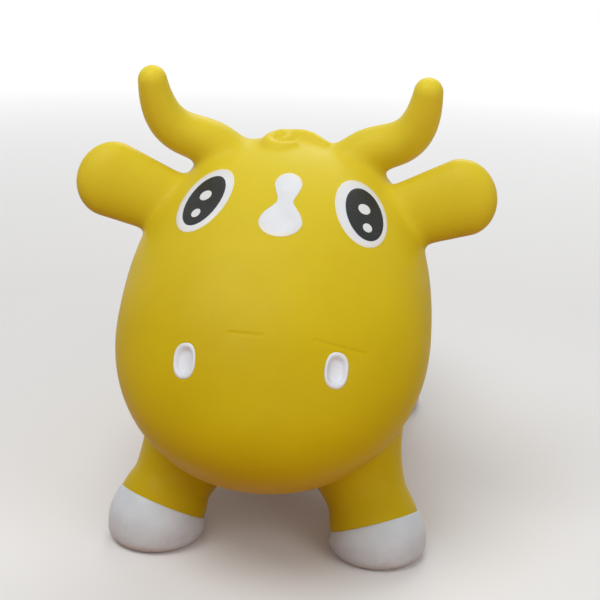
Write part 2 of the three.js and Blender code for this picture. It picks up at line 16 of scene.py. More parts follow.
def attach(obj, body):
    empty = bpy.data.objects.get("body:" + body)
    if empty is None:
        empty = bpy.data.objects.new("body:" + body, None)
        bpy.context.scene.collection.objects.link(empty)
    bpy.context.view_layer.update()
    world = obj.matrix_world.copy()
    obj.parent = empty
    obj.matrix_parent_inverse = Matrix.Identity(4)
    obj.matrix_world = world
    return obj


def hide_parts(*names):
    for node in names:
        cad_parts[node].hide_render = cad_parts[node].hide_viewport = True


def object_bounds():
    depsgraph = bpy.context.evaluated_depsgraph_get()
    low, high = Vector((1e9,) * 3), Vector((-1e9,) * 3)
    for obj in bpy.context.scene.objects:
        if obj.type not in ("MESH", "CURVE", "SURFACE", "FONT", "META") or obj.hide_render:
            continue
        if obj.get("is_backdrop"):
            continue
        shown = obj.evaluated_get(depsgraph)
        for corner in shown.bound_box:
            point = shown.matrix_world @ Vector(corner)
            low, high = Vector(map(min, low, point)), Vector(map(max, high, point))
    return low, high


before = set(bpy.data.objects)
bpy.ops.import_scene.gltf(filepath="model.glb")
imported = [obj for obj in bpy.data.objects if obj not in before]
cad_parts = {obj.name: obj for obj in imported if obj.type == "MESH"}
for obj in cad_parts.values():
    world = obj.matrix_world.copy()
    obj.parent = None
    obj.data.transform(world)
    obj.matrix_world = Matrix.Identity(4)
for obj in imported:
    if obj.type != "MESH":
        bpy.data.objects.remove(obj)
cad_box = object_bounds()
MM = 0.001  # the shapes below are worked out in millimetres, and the meshes are in metres

# %% [markdown]
# ## The barrel and the head as distances
# On the real toy nothing joins the barrel to the head: they are one moulded skin that runs over from one
# to the other in a soft hollow. Two meshes with a boolean would leave a hard line there. So each member is
# described by a function that gives a point's distance to its surface, below zero inside, because
# distances can be melted together. Both big members are eggs: a superellipse along the axis and an ellipse
# across it.

# %% Barrel and head
BARREL_LENGTH = 456
BARREL_WIDTH = 240
BARREL_HEIGHT = 204
BARREL_Y = 40
BARREL_FULLNESS = 2.5  # 2 is an ellipse, more is squarer
BELLY_HEIGHT = 60  # above the floor
SADDLE_DIP = 9
SADDLE_Y = 45
SADDLE_REACH = 85

HEAD_WIDTH = 284
MUZZLE_LENGTH = 153  # from the widest place down to the chin
CROWN_LENGTH = 207  # and up to the crown
FACE_DEPTH = 82  # from the leaning axis out to the face
NAPE_DEPTH = 100  # and back to the nape
HEAD_LEAN = math.radians(49)  # from upright
HEAD_CENTRE = np.array([0, -161, 204.6])
HEAD_AXIS = np.array([0, math.sin(HEAD_LEAN), math.cos(HEAD_LEAN)])
HEAD_BACK = np.array([0, math.cos(HEAD_LEAN), -math.sin(HEAD_LEAN)])
MUZZLE_FULLNESS = 2.13
CROWN_FULLNESS = 2.29
TINY = 1e-9  # keeps a division by nothing from failing


def egg(along, across, depth, length, width, thick, fullness):
    """Distance to an egg with these half sizes, exact near its surface."""
    end = np.abs(along) / length
    side = np.hypot(across / width, depth / thick) + TINY
    size = (end**fullness + side**fullness) ** (1 / fullness)
    end_slope = (end / size) ** (fullness - 1) / length
    side_slope = (side / size) ** (fullness - 1) / side * np.hypot(across / width**2, depth / thick**2)
    return (size - 1) / (np.hypot(end_slope, side_slope) + TINY)


def barrel(points):
    x, y, z = points.T
    height = z - BELLY_HEIGHT - BARREL_HEIGHT / 2
    dip = SADDLE_DIP * np.exp(-(((y - SADDLE_Y) / SADDLE_REACH) ** 2))
    half_height = BARREL_HEIGHT / 2 - np.where(height > 0, dip, 0)
    return egg(y - BARREL_Y, x, height, BARREL_LENGTH / 2, BARREL_WIDTH / 2, half_height, BARREL_FULLNESS)


def head(points):
    along = (points - HEAD_CENTRE) @ HEAD_AXIS
    depth = (points - HEAD_CENTRE) @ HEAD_BACK
    length = np.where(along < 0, MUZZLE_LENGTH, CROWN_LENGTH)
    thick = np.where(depth < 0, FACE_DEPTH, NAPE_DEPTH)
    fullness = np.where(along < 0, MUZZLE_FULLNESS, CROWN_FULLNESS)
    return egg(along, points[:, 0], depth, length, HEAD_WIDTH / 2, thick, fullness)


print("head centre is", round(float(-head(HEAD_CENTRE[None] + HEAD_BACK)[0])), "mm inside its skin")

# %% [markdown]
# ## Places on the head
# Horns, ears, eyes and nostrils all sit on the head. Measuring each from the floor would break the face
# apart when the head changes, so a place is given by two angles on the egg, in degrees: its rise from the
# chin to the crown, and its turn from the middle of the face to the cow's left.


# %% Places on the head
def head_point(rise, turn):
    up, around = math.radians(rise), math.radians(turn - 90)
    length, fullness = (MUZZLE_LENGTH, MUZZLE_FULLNESS) if rise < 90 else (CROWN_LENGTH, CROWN_FULLNESS)
    power = 2 / fullness
    along = -math.copysign(abs(math.cos(up)) ** power, math.cos(up)) * length
    across = math.sin(up) ** power
    depth = FACE_DEPTH if math.sin(around) < 0 else NAPE_DEPTH
    side = np.array([HEAD_WIDTH / 2 * across * math.cos(around), 0, 0])
    return HEAD_CENTRE + HEAD_AXIS * along + side + HEAD_BACK * (depth * across * math.sin(around))


def unit(vector):
    return vector / np.linalg.norm(vector)


def face_place(rise, turn):
    """Origin, right (to the cow's left), up the face and out of the skin."""
    step = 0.5
    upward = head_point(rise + step, turn) - head_point(rise - step, turn)
    sideways = head_point(rise, turn + step) - head_point(rise, turn - step)
    out = unit(np.cross(sideways, upward))
    upward = unit(upward - out * (upward @ out))
    return head_point(rise, turn), np.cross(upward, out), upward, out


def mirrored(point, side):
    return np.asarray(point) * [side, 1, 1]


brow, _, _, brow_out = face_place(rise=115, turn=0)
print("brow at", brow.round())

# %% [markdown]
# ## Curves and profiles
# Legs, horns and tail are soft tubes whose thickness changes along a bent line. A line is a Bezier curve
# cut into many short steps, and its radii run smoothly through the few sizes that a maker would give: rim,
# ankle and thigh, or root, bend and tip.

# %% Curves and profiles
CURVE_STEPS = 48


def bezier(*control):
    t = np.linspace(0, 1, CURVE_STEPS)[:, None]
    order = len(control) - 1
    pulls = [math.comb(order, i) * t**i * (1 - t) ** (order - i) for i in range(order + 1)]
    return sum(pull * np.asarray(point) for pull, point in zip(pulls, control))


def travelled(line):
    return np.concatenate([[0], np.cumsum(np.linalg.norm(np.diff(line, axis=0), axis=1))])


def walk(line, distances):
    """Points at these distances along a line."""
    return np.stack([np.interp(distances, travelled(line), line[:, i]) for i in range(3)], axis=1)


def spline(points, steps=16):
    """A smooth line from the second point to the last but one. The two ends only steer it."""
    points = np.asarray(points, float)
    t = np.linspace(0, 1, steps, endpoint=False)[:, None]
    runs = []
    for a, b, c, d in zip(points, points[1:], points[2:], points[3:]):
        bend = 2 * a - 5 * b + 4 * c - d
        twist = 3 * b - a - 3 * c + d
        runs.append(b + (c - a) * t / 2 + bend * t**2 / 2 + twist * t**3 / 2)
    return np.vstack([*runs, points[-2]])


def profile(points, at):
    """Half sizes at these distances, on a smooth line through a few (distance, half size) points."""
    line = spline([points[0], *points, points[-1]])
    return np.interp(at, line[:, 0], line[:, 1])


print("half-way from 10 to 20 mm a profile has", profile([(0, 10), (1, 20)], 0.5), "mm")

# %% [markdown]
# ## Tubes
# The distance to a tube is the distance to the nearest piece of its line, less the radius there. Measuring
# every piece for every point would be slow. So the nearest mark of the line is found first, and then only
# the two steps that meet there are measured.

# %% Tubes
POINTS_AT_ONCE = 100000  # more would take too much memory
limbs = []


def line_distance(points, line, radii):
    best = np.empty(len(points))
    for part in np.array_split(np.arange(len(points)), len(points) // POINTS_AT_ONCE + 1):
        near = points[part]
        squares = (near**2).sum(1)[:, None] - 2 * near @ line.T + (line**2).sum(1)
        mark = np.argmin(np.sqrt(np.maximum(squares, 0)) - radii, axis=1)
        gaps = []
        for first in (np.maximum(mark - 1, 0), np.minimum(mark, len(line) - 2)):
            step = line[first + 1] - line[first]
            offset = near - line[first]
            t = np.clip((offset * step).sum(1) / ((step**2).sum(1) + TINY), 0, 1)
            radius = radii[first] + (radii[first + 1] - radii[first]) * t
            gaps.append(np.linalg.norm(offset - t[:, None] * step, axis=1) - radius)
        best[part] = np.minimum(*gaps)
    return best


def add_tube(line, radii, fillet, cut=None):
    """A member of the skin. cut is a point and a direction: the tube ends flat there."""

    def distance(points):
        gap = line_distance(points, line, radii)
        if cut is not None:
            gap = np.maximum(gap, (cut[0] - points) @ cut[1])
        return gap

    reach = radii.max() + fillet
    limbs.append((distance, line.min(0) - reach, line.max(0) + reach, fillet))


pole = np.array([[0, 0, 0], [0, 0, 100]])
gap = line_distance(np.array([[25, 0, 50]]), pole, np.array([10, 10]))[0]
print("a point 25 mm off the middle of a pole of radius 10 mm is", gap, "mm away from it")

# %% [markdown]
# ## Legs
# The legs splay out from the trunk and swell to thighs that melt into it. Each stands straight over its
# flat sole and then leans in to the hip, which three points of a curve can say. The real legs are soft and
# stand a little askew, so the rims of the hooves sit lower on the cow's left.

# %% Legs
FRONT_HOOF_SPREAD = 208
REAR_HOOF_SPREAD = 190
FRONT_HOOF_Y = -180
REAR_HOOF_Y = 176
HOOF_DIAMETER = 91
HOOF_HEIGHT = 33
RIM_DROP = 4.5  # on the cow's left
HOOF_LIP = 1.2  # step of the hoof's rim over the leg
SOLE_ROUND = 11
RIM_DIAMETER = 85
ANKLE_DIAMETER = 76
THIGH_DIAMETER = 128
ANKLE_RISE = 24
CALF_SLIMMING = 4  # its radius is this much less than the mean of ankle and thigh
KNEE_HEIGHT = 29
HIP_SPREAD = 117
HIP_HEIGHT = 116
HIP_INSET = 55
LEG_FILLET = 34
LEG_TUCK = 9  # the leg's end is this far down inside its hoof
SIDES = {"left": 1, "right": -1}
ENDS = {"front": -1, "rear": 1}


def leg_line(side, end):
    y, spread = (FRONT_HOOF_Y, FRONT_HOOF_SPREAD) if end < 0 else (REAR_HOOF_Y, REAR_HOOF_SPREAD)
    sole = np.array([side * spread / 2, y, 0])
    coffin = sole + [0, 0, SOLE_ROUND]
    knee = sole + [0, 0, KNEE_HEIGHT]
    hip = np.array([side * HIP_SPREAD / 2, y - end * HIP_INSET, HIP_HEIGHT])
    return np.vstack([sole, bezier(coffin, knee, hip)])


def rim_height(side):
    return HOOF_HEIGHT - (RIM_DROP if side > 0 else 0)


def add_leg(side, end):
    line = leg_line(side, end)
    length = travelled(line)[-1]
    ankle = HOOF_HEIGHT + ANKLE_RISE
    sizes = [
        (rim_height(side), RIM_DIAMETER / 2 - HOOF_LIP),
        (ankle, ANKLE_DIAMETER / 2),
        ((ankle + length) / 2, (ANKLE_DIAMETER + THIGH_DIAMETER) / 4 - CALF_SLIMMING),
        (length, THIGH_DIAMETER / 2),
    ]
    at = np.linspace(HOOF_HEIGHT - LEG_TUCK, length, CURVE_STEPS)
    spine = walk(line, at)
    add_tube(spine, profile(sizes, at), LEG_FILLET, cut=(spine[0], unit(spine[1] - spine[0])))


for side in SIDES.values():
    for end in ENDS.values():
        add_leg(side, end)
print(len(limbs), "legs, line of", round(travelled(leg_line(1, -1))[-1]), "mm")

# %% [markdown]
# ## Horns and tail
# The horns are the rider's grips: thick at the root, swept out and then up. The tail is a short tube that
# hangs from the rump and swells to a tuft. Each is one curve of four points, because a root, two pulls and
# a tip can be moved about until the bend is right.

# %% Horns and tail
HORN_PLACE = head_point(rise=139, turn=44)
HORN_STEPS = [(-11, 11, -8), (9, 11, 31), (57, 3, -7), (59, -21, 84)]  # root, pulls and tip
HORN_ROOT_DIAMETER = 45
HORN_BEND_DIAMETER = 40
HORN_TIP_DIAMETER = 27
HORN_FILLET = 20
TAIL_ROOT_RISE = 44  # over the middle of the barrel
TAIL_BURY = 41
TAIL_REACH = 7
TAIL_ARCH = 8
TAIL_DROP = 68
TAIL_DIAMETER = 21
TAIL_TUFT_DIAMETER = 30
TAIL_FILLET = 16


def add_horn(side):
    line = bezier(*[mirrored(HORN_PLACE + step, side) for step in HORN_STEPS])
    tip = HORN_TIP_DIAMETER / 2
    straight = travelled(line)[-1] - tip
    at = np.linspace(0, straight, CURVE_STEPS)
    sizes = [(0, HORN_ROOT_DIAMETER / 2), (straight / 2, HORN_BEND_DIAMETER / 2), (straight, tip)]
    add_tube(walk(line, at), profile(sizes, at), HORN_FILLET)


def add_tail():
    rump = BARREL_Y + BARREL_LENGTH / 2
    root = BELLY_HEIGHT + BARREL_HEIGHT / 2 + TAIL_ROOT_RISE
    bend = rump + TAIL_REACH
    line = bezier(
        (0, rump - TAIL_BURY, root),
        (0, bend, root + TAIL_ARCH),
        (0, bend, root - TAIL_DROP / 2),
        (0, bend, root - TAIL_DROP),
    )
    slim, tuft = TAIL_DIAMETER / 2, TAIL_TUFT_DIAMETER / 2
    straight = travelled(line)[-1] - tuft
    at = np.linspace(0, straight, CURVE_STEPS)
    add_tube(walk(line, at), profile([(0, slim), (straight / 2, slim), (straight, tuft)], at), TAIL_FILLET)


for side in SIDES.values():
    add_horn(side)
add_tail()
print(len(limbs), "limbs with the horns and the tail")

# %% [markdown]
# ## Ears
# An ear is a plump paddle, wider than it is thick, with a rounded end. A round tube can't be flat, so the
# ear has a distance of its own: an ellipse across, which closes with a squarish round end, as blown vinyl
# does.

# %% Ears
EAR_PLACE = head_point(rise=119.6, turn=68.8)
EAR_ROOT = (-21, 9, -6)  # from the place
EAR_TIP = (75, -7, 35)
EAR_FRONT = np.array([0, -1, 0.35])  # the way its flat side looks
EAR_ROOT_HEIGHT = 58
EAR_HEIGHT = 71
EAR_THICKNESS = 36
EAR_ROUND = 32
EAR_FILLET = 14


def add_ear(side):
    root, tip = (mirrored(EAR_PLACE + step, side) for step in (EAR_ROOT, EAR_TIP))
    along = unit(tip - root)
    front = unit(EAR_FRONT - along * (EAR_FRONT @ along))
    across = np.cross(front, along)
    straight = np.linalg.norm(tip - root) - EAR_ROUND
    thick = EAR_THICKNESS / 2

    def distance(points):
        at = (points - root) @ along
        past_end = np.maximum(at - straight, 0) + np.maximum(-at, 0)
        share = np.clip(at / straight, 0, 1)
        half = (EAR_ROOT_HEIGHT + (EAR_HEIGHT - EAR_ROOT_HEIGHT) * share) / 2
        width = (points - root) @ across / half
        depth = (points - root) @ front / thick
        end = past_end / EAR_ROUND
        size = np.sqrt(width**2 + depth**2 + end**2) + TINY
        pace = np.sqrt((width / half) ** 2 + (depth / thick) ** 2 + (end / EAR_ROUND) ** 2) / size
        return (size - 1) / (pace + TINY)

    reach = EAR_HEIGHT / 2 + EAR_FILLET
    limbs.append((distance, np.minimum(root, tip) - reach, np.maximum(root, tip) + reach, EAR_FILLET))


for side in SIDES.values():
    add_ear(side)
print("ear place", EAR_PLACE.round())

# %% [markdown]
# ## Forelock
# The tuft on the crown is low, hardly higher than the skin: a long lock that curls in like a snail, and a
# short one behind it. Each is a tube that lies half sunk in the crown. Its line is laid out in steps along
# the skin, because the crown is round. The locks get a small fillet, so that the creases between their
# turns stay.

# %% Forelock
FORELOCK_RISE = 147
CURLED_LOCK = [(3, -9), (-5, -13), (-14, -11), (-20, -3), (-17, 7), (-8, 9), (-3, 3), (-6, -3)]
SHORT_LOCK = [(-9, 12), (6, 14), (20, 10), (33, -1)]
LOCK_LIFT = 0.3  # of a lock's line over the skin, in the forelock's middle
LOCK_SLOPE = 0.15  # a lock sinks in towards the forehead
LOCK_DIAMETER = 12.5
LOCK_END_DIAMETER = 8
LOCK_FILLET = 11


def crown_place(x, y):
    """A point on the crown and the way out of it, in steps along the skin from the forelock's middle."""
    middle = head_point(FORELOCK_RISE, 0)
    rise_pace = np.linalg.norm(head_point(FORELOCK_RISE + 1, 0) - middle)
    turn_pace = np.linalg.norm(head_point(FORELOCK_RISE, 1) - middle)
    point, _, _, out = face_place(FORELOCK_RISE + y / rise_pace, x / turn_pace)
    return point, out


def add_lock(steps):
    line = []
    for x, y in spline([steps[0], *steps, steps[-1]], steps=8):
        point, out = crown_place(x, y)
        line.append(point + (LOCK_LIFT + LOCK_SLOPE * y) * out)
    line = np.array(line)
    at = travelled(line)
    thick, end = LOCK_DIAMETER / 2, LOCK_END_DIAMETER / 2
    add_tube(line, profile([(0, end), (at[-1] / 2, thick), (at[-1], end)], at), LOCK_FILLET)


for steps in (CURLED_LOCK, SHORT_LOCK):
    add_lock(steps)
print(len(limbs), "limbs with the locks")

# %% [markdown]
# ## Pockets and creases
# The skin dips in at the nostrils and has a round hole at the valve. Where the toy was folded flat in its
# box, the muzzle keeps two faint creases. Pockets are distances that are taken away from the skin, and a
# crease lowers it a little along a line.

# %% Pockets and creases
NOSTRIL_RISE = 63.5
NOSTRIL_TURN = 30
NOSTRIL_LENGTH = 31.3
NOSTRIL_WIDTH = 20.5
NOSTRIL_TILT = math.radians(10)  # the top leans to the middle
NOSTRIL_DEPTH = 6
NOSTRIL_CLEARANCE = 2.5  # the skin's dip lies this far under the painted dish
NOSTRIL_INSET = 0.5  # and this far inside its outline
VALVE_Y = 60
VALVE_NECK_DIAMETER = 20
VALVE_NECK_LENGTH = 24
SEAT_GAP = 0.3
POCKET_EDGE = 2.4
CREASES = [[(72.6, -12), (72.3, -6), (72, 0)], [(72.2, 19), (71.5, 29), (71.5, 40)]]  # rise and turn
CREASE_DEPTH = 1.1
CREASE_WIDTH = 1.3
CREASE_REACH = 3 * CREASE_WIDTH
pockets = []


def nostril_place(side):
    origin, right, up, out = face_place(NOSTRIL_RISE, side * NOSTRIL_TURN)
    cosine, sine = math.cos(NOSTRIL_TILT), side * math.sin(NOSTRIL_TILT)
    return origin, right * cosine + up * sine, up * cosine - right * sine, out


NOSTRIL_PLACES = {name: nostril_place(side) for name, side in SIDES.items()}
VALVE_MOUTH = np.array([0, VALVE_Y, BELLY_HEIGHT])


def add_nostril_dip(place):
    origin, right, up, out = place
    half_width, half_length = (size / 2 - NOSTRIL_INSET for size in (NOSTRIL_WIDTH, NOSTRIL_LENGTH))
    depth = NOSTRIL_DEPTH + NOSTRIL_CLEARANCE

    def distance(points):
        offset = points - origin
        return egg(offset @ out, offset @ right, offset @ up, depth, half_width, half_length, fullness=2)

    pockets.append((distance, origin - NOSTRIL_LENGTH, origin + NOSTRIL_LENGTH))


def add_valve_hole():
    radius = VALVE_NECK_DIAMETER / 2 + SEAT_GAP

    def distance(points):
        x, y, z = (points - VALVE_MOUTH).T
        return np.maximum(np.hypot(x, y) - radius, z - VALVE_NECK_LENGTH)

    reach = 2 * VALVE_NECK_LENGTH
    pockets.append((distance, VALVE_MOUTH - reach, VALVE_MOUTH + reach))


for place in NOSTRIL_PLACES.values():
    add_nostril_dip(place)
add_valve_hole()
crease_lines = []
for marks in CREASES:
    ends = [marks[0], *marks, marks[-1]]
    crease_lines.append(np.array([head_point(rise, turn) for rise, turn in spline(ends)]))
print(len(pockets), "pockets,", len(crease_lines), "creases")

# %% [markdown]
# ## Melting the members into one skin
# The smaller of two distances joins two shapes with a hard line. Taking away a little more where the two
# are nearly equal fills the corner with a fillet of a chosen size: wide at the nape and the legs, tight at
# the ears. A limb only counts inside its own box, which saves most of the work.

# %% The skin's distance
NAPE_FILLET = 60


def melt(a, b, fillet):
    near = np.maximum(fillet - np.abs(a - b), 0) / fillet
    return np.minimum(a, b) - near**3 * fillet / 6


def inside_box(points, low, high):
    return np.flatnonzero(np.all((points > low) & (points < high), axis=1))


def plain_skin(points):
    """The skin before its pockets and creases."""
    gap = melt(barrel(points), head(points), NAPE_FILLET)
    for distance, low, high, fillet in limbs:
        near = inside_box(points, low, high)
        near = near[gap[near] > -fillet]
        gap[near] = melt(gap[near], distance(points[near]), fillet)
    return gap


def skin(points):
    gap = plain_skin(points)
    for distance, low, high in pockets:
        near = inside_box(points, low, high)
        gap[near] = -melt(-gap[near], distance(points[near]), POCKET_EDGE)
    for line in crease_lines:
        near = inside_box(points, line.min(0) - CREASE_REACH, line.max(0) + CREASE_REACH)
        away = line_distance(points[near], line, np.zeros(len(line)))
        gap[near] += CREASE_DEPTH * np.exp(-((away / CREASE_WIDTH) ** 2))
    return gap


def slope(surface, points, gap, step=0.02):
    """Which way a surface's distance grows from points where it is gap."""
    return np.stack([surface(points + step * axis) - gap for axis in np.eye(3)], axis=1) / step


print("saddle is", round(float(skin(np.array([[0, SADDLE_Y, 300]]))[0])), "mm under a point 300 mm up")

# %% [markdown]
# ## From distance to mesh
# A grid of boxes is laid over the hopper. Each box that the surface passes through gets one point, and
# points of neighbouring boxes are joined by quads: this is called a surface net. Its quads are even and it
# has no poles, so it shades well. Far from the surface a coarse grid is enough, which saves most of the
# time.

# %% Grid of distances
CELL = 3.2
COARSE = 5


def grid_values(surface, axes):
    """Distances on a grid. Only nodes near the surface are worked out, as a coarse grid shows."""
    coarse_axes = [axis[::COARSE] for axis in axes]
    coarse_nodes = np.stack(np.meshgrid(*coarse_axes, indexing="ij"), axis=-1)
    values = surface(coarse_nodes.reshape(-1, 3)).reshape(coarse_nodes.shape[:3])
    for way, axis in enumerate(axes):
        values = np.repeat(values, COARSE, axis=way).take(range(len(axis)), axis=way)
    near = np.argwhere(np.abs(values) < 2 * COARSE * CELL)
    nodes = np.stack([axis[i] for axis, i in zip(axes, near.T)], axis=1)
    values[tuple(near.T)] = surface(nodes)
    return values


low, high = (np.array(corner) / MM for corner in cad_box)
print("grid of", [math.ceil(size / CELL) for size in high - low], "boxes")

# %% Surface net
CORNERS = np.array([(i, j, k) for i in (0, 1) for j in (0, 1) for k in (0, 1)])
CELL_EDGES = [(a, b) for a in range(8) for b in range(a) if np.abs(CORNERS[a] - CORNERS[b]).sum() == 1]


def surface_net(surface, low, high):
    axes = [np.arange(a, b + CELL, CELL) for a, b in zip(low, high)]
    values = grid_values(surface, axes)
    cells = [n - 1 for n in values.shape]
    corner = [values[i : i + cells[0], j : j + cells[1], k : k + cells[2]] for i, j, k in CORNERS]
    inside = sum((c < 0).astype(int) for c in corner)
    crossed = (inside > 0) & (inside < 8)
    ids = np.full(cells, -1)
    ids[crossed] = np.arange(crossed.sum())
    total = np.zeros((crossed.sum(), 3))
    count = np.zeros(crossed.sum())
    for a, b in CELL_EDGES:
        va, vb = corner[a][crossed], corner[b][crossed]
        cuts = (va < 0) != (vb < 0)
        share = (va[cuts] / (va[cuts] - vb[cuts]))[:, None]
        total[cuts] += CORNERS[a] + share * (CORNERS[b] - CORNERS[a])
        count[cuts] += 1
    points = (np.argwhere(crossed) + total / count[:, None]) * CELL + [axis[0] for axis in axes]
    return points, np.vstack([net_quads(values < 0, ids, axis) for axis in range(3)])


def net_quads(inside, ids, axis):
    """One quad round each grid edge along this axis that the surface cuts."""
    inside, ids = np.moveaxis(inside, axis, 0), np.moveaxis(ids, axis, 0)
    i, j, k = np.nonzero(inside[:-1, 1:-1, 1:-1] != inside[1:, 1:-1, 1:-1])
    quads = np.stack([ids[i, j, k], ids[i, j + 1, k], ids[i, j + 1, k + 1], ids[i, j, k + 1]], axis=1)
    outward = inside[i, j + 1, k + 1] == (axis != 1)
    quads[~outward] = quads[~outward, ::-1]
    return quads


net_points, net_faces = surface_net(skin, low - 2 * CELL, high + 2 * CELL)
print(len(net_points), "points and", len(net_faces), "quads in the net")

# %% [markdown]
# ## The skin as one piece
# The net is even, but the curls, nostrils, valve and creases need finer faces than the broad flanks. Making
# the whole grid finer would waste most of it, so only the faces near those places are divided. Then all
# points are slid along the slope until they lie on the surface itself.

# %% Finer faces
FINE_CUTS = 2
NOSTRIL_ZONE = 0.65  # of a nostril's length
CREASE_STRIDE = 4  # every fourth mark of a crease is near enough to the next


def fine_zones():
    for step in CURLED_LOCK + SHORT_LOCK:
        yield crown_place(*step)[0], LOCK_DIAMETER
    for place in NOSTRIL_PLACES.values():
        yield place[0], NOSTRIL_LENGTH * NOSTRIL_ZONE
    yield VALVE_MOUTH, VALVE_NECK_DIAMETER
    for line in crease_lines:
        for point in line[::CREASE_STRIDE]:
            yield point, CREASE_REACH + CELL


def divide_near(mesh, zones, cuts):
    middles = np.zeros(len(mesh.polygons) * 3)
    mesh.polygons.foreach_get("center", middles)
    middles = middles.reshape(-1, 3) / MM
    wanted = np.zeros(len(middles), bool)
    for centre, reach in zones:
        wanted |= np.linalg.norm(middles - centre, axis=1) < reach
    net = bmesh.new()
    net.from_mesh(mesh)
    net.faces.ensure_lookup_table()
    edges = {edge for i in np.flatnonzero(wanted) for edge in net.faces[i].edges}
    bmesh.ops.subdivide_edges(net, edges=list(edges), cuts=cuts, use_grid_fill=True)
    bmesh.ops.triangulate(net, faces=[face for face in net.faces if len(face.verts) > 4])
    bmesh.ops.recalc_face_normals(net, faces=net.faces)
    net.to_mesh(mesh)
    net.free()


print(len(list(fine_zones())), "places get finer faces")

# %% Skin piece
SETTLE_STEPS = 2


def new_piece(name, points, faces, body):
    mesh = bpy.data.meshes.new(name)
    mesh.from_pydata((np.asarray(points) * MM).tolist(), [], [list(map(int, face)) for face in faces])
    mesh.polygons.foreach_set("use_smooth", [True] * len(mesh.polygons))
    mesh.update()
    piece = bpy.data.objects.new(name, mesh)
    bpy.context.scene.collection.objects.link(piece)
    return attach(piece, body)


def mesh_points(mesh):
    flat = np.zeros(len(mesh.vertices) * 3)
    mesh.vertices.foreach_get("co", flat)
    return flat.reshape(-1, 3) / MM


def settle(surface, points, steps):
    for _ in range(steps):
        gap = surface(points)
        ways = slope(surface, points, gap)
        points = points - (gap / ((ways**2).sum(1) + TINY))[:, None] * ways
    return points


hopper_skin = new_piece("hopper_skin", net_points, net_faces, "hopper")
divide_near(hopper_skin.data, fine_zones(), FINE_CUTS)
settled = settle(skin, mesh_points(hopper_skin.data), SETTLE_STEPS)
hopper_skin.data.vertices.foreach_set("co", (settled * MM).ravel())
hopper_skin.data.polygons.foreach_set("use_smooth", [True] * len(hopper_skin.data.polygons))
hopper_skin.data.update()
print("skin of", len(settled), "points, furthest off", round(float(np.abs(skin(settled)).max()), 3), "mm")

# %% [markdown]
# ## Nodes for the finishes
# Vinyl, paint and plastic all have a cloudy colour, a gloss that changes in patches, and a fine grain.
# Noise in the object's own metres gives each of these at its real scale, so no picture or unwrapping is
# needed. A small class keeps the calls for these nodes short.


# %% Colours and sockets
def srgb(red, green, blue):
    """A colour as written on screen, from 0 to 255, in the linear values that Blender mixes."""
    shares = [value / 255 for value in (red, green, blue)]
    return (*[s / 12.92 if s <= 0.04045 else ((s + 0.055) / 1.055) ** 2.4 for s in shares], 1)


def connect(tree, value, socket):
    """Gives a socket the outcome of another node, or a plain number or colour."""
    if isinstance(value, bpy.types.NodeSocket):
        tree.links.new(value, socket)
    else:
        socket.default_value = value


def add_node(tree, kind, output, inputs, **settings):
    """One of the outcomes of a new node that has these inputs and settings."""
    made = tree.nodes.new(kind)
    for name, value in settings.items():
        setattr(made, name, value)
    for name, value in inputs.items():
        connect(tree, value, made.inputs[name])
    return made.outputs[output]


print("a mid grey of 128 is", round(srgb(128, 128, 128)[0], 3), "in Blender's linear values")


# %% Finish
class Finish:
    """A material with short calls for the few nodes that the finishes share."""

    def __init__(self, name):
        self.material = bpy.data.materials.new(name)
        self.material.use_nodes = True
        self.tree = self.material.node_tree
        self.shader = self.tree.nodes["Principled BSDF"]
        self.place = self.node("ShaderNodeTexCoord", "Object", {})

    def node(self, kind, output, inputs, **settings):
        return add_node(self.tree, kind, output, inputs, **settings)

    def shade(self, sockets):
        for name, value in sockets.items():
            connect(self.tree, value, self.shader.inputs[name])

    def noise(self, size, detail=2, roughness=0.5):
        """Cloudy noise whose lumps are about this many millimetres."""
        inputs = {"Vector": self.place, "Scale": 1 / (size * MM), "Detail": detail, "Roughness": roughness}
        return self.node("ShaderNodeTexNoise", "Fac", inputs)

    def height(self):
        """Height over the floor, in metres."""
        return self.node("ShaderNodeSeparateXYZ", "Z", {"Vector": self.place})

    def span(self, source, low, high, start=0.3, stop=0.7):
        """Stretches a value from start..stop to low..high."""
        inputs = {"Value": source, "From Min": start, "From Max": stop, "To Min": low, "To Max": high}
        return self.node("ShaderNodeMapRange", "Result", inputs)

    def times(self, first, second):
        return self.node("ShaderNodeMath", "Value", {0: first, 1: second}, operation="MULTIPLY")

    def mix(self, share, first, second):
        """Mixes two colours, each a written colour or the outcome of an earlier mix."""
        made = self.tree.nodes.new("ShaderNodeMix")
        made.data_type = "RGBA"
        connect(self.tree, share, made.inputs["Factor"])
        for name, value in (("A", first), ("B", second)):
            connect(self.tree, value, next(s for s in made.inputs if s.name == name and s.type == "RGBA"))
        return next(s for s in made.outputs if s.type == "RGBA")

    def bumps(self, *layers):
        """Stacks bump layers, each a height source and its depth in millimetres."""
        under = {}
        for source, depth in layers:
            inputs = {"Strength": 1, "Distance": depth * MM, "Height": source, **under}
            under = {"Normal": self.node("ShaderNodeBump", "Normal", inputs)}
        self.shade(under)


print("a finish has calls for", [call for call in vars(Finish) if not call.startswith("_")])

# %% [markdown]
# ## Yellow vinyl
# Soft vinyl is dyed through, so its colour is even, with a faint cloudiness and some specks. From the
# shoulders up a paler yellow is mixed in by height: painted light and a painted sheen, for the upper parts
# that the lamps light most. The mould leaves a satin surface with a very fine grain, handling polishes it
# in patches, and a little light enters and comes out warmer.

# %% Yellow vinyl
VINYL = srgb(200, 173, 9), srgb(208, 182, 12)
# painted light: a paler yellow for the upper parts, which stands in for light from above and a sheen
PAINTED_TOP_LIGHT = srgb(236, 216, 60)
SPECK = srgb(186, 156, 8)
PAINTED_LIGHT_START = 0.22  # metres over the floor
PAINTED_LIGHT_END = 0.43


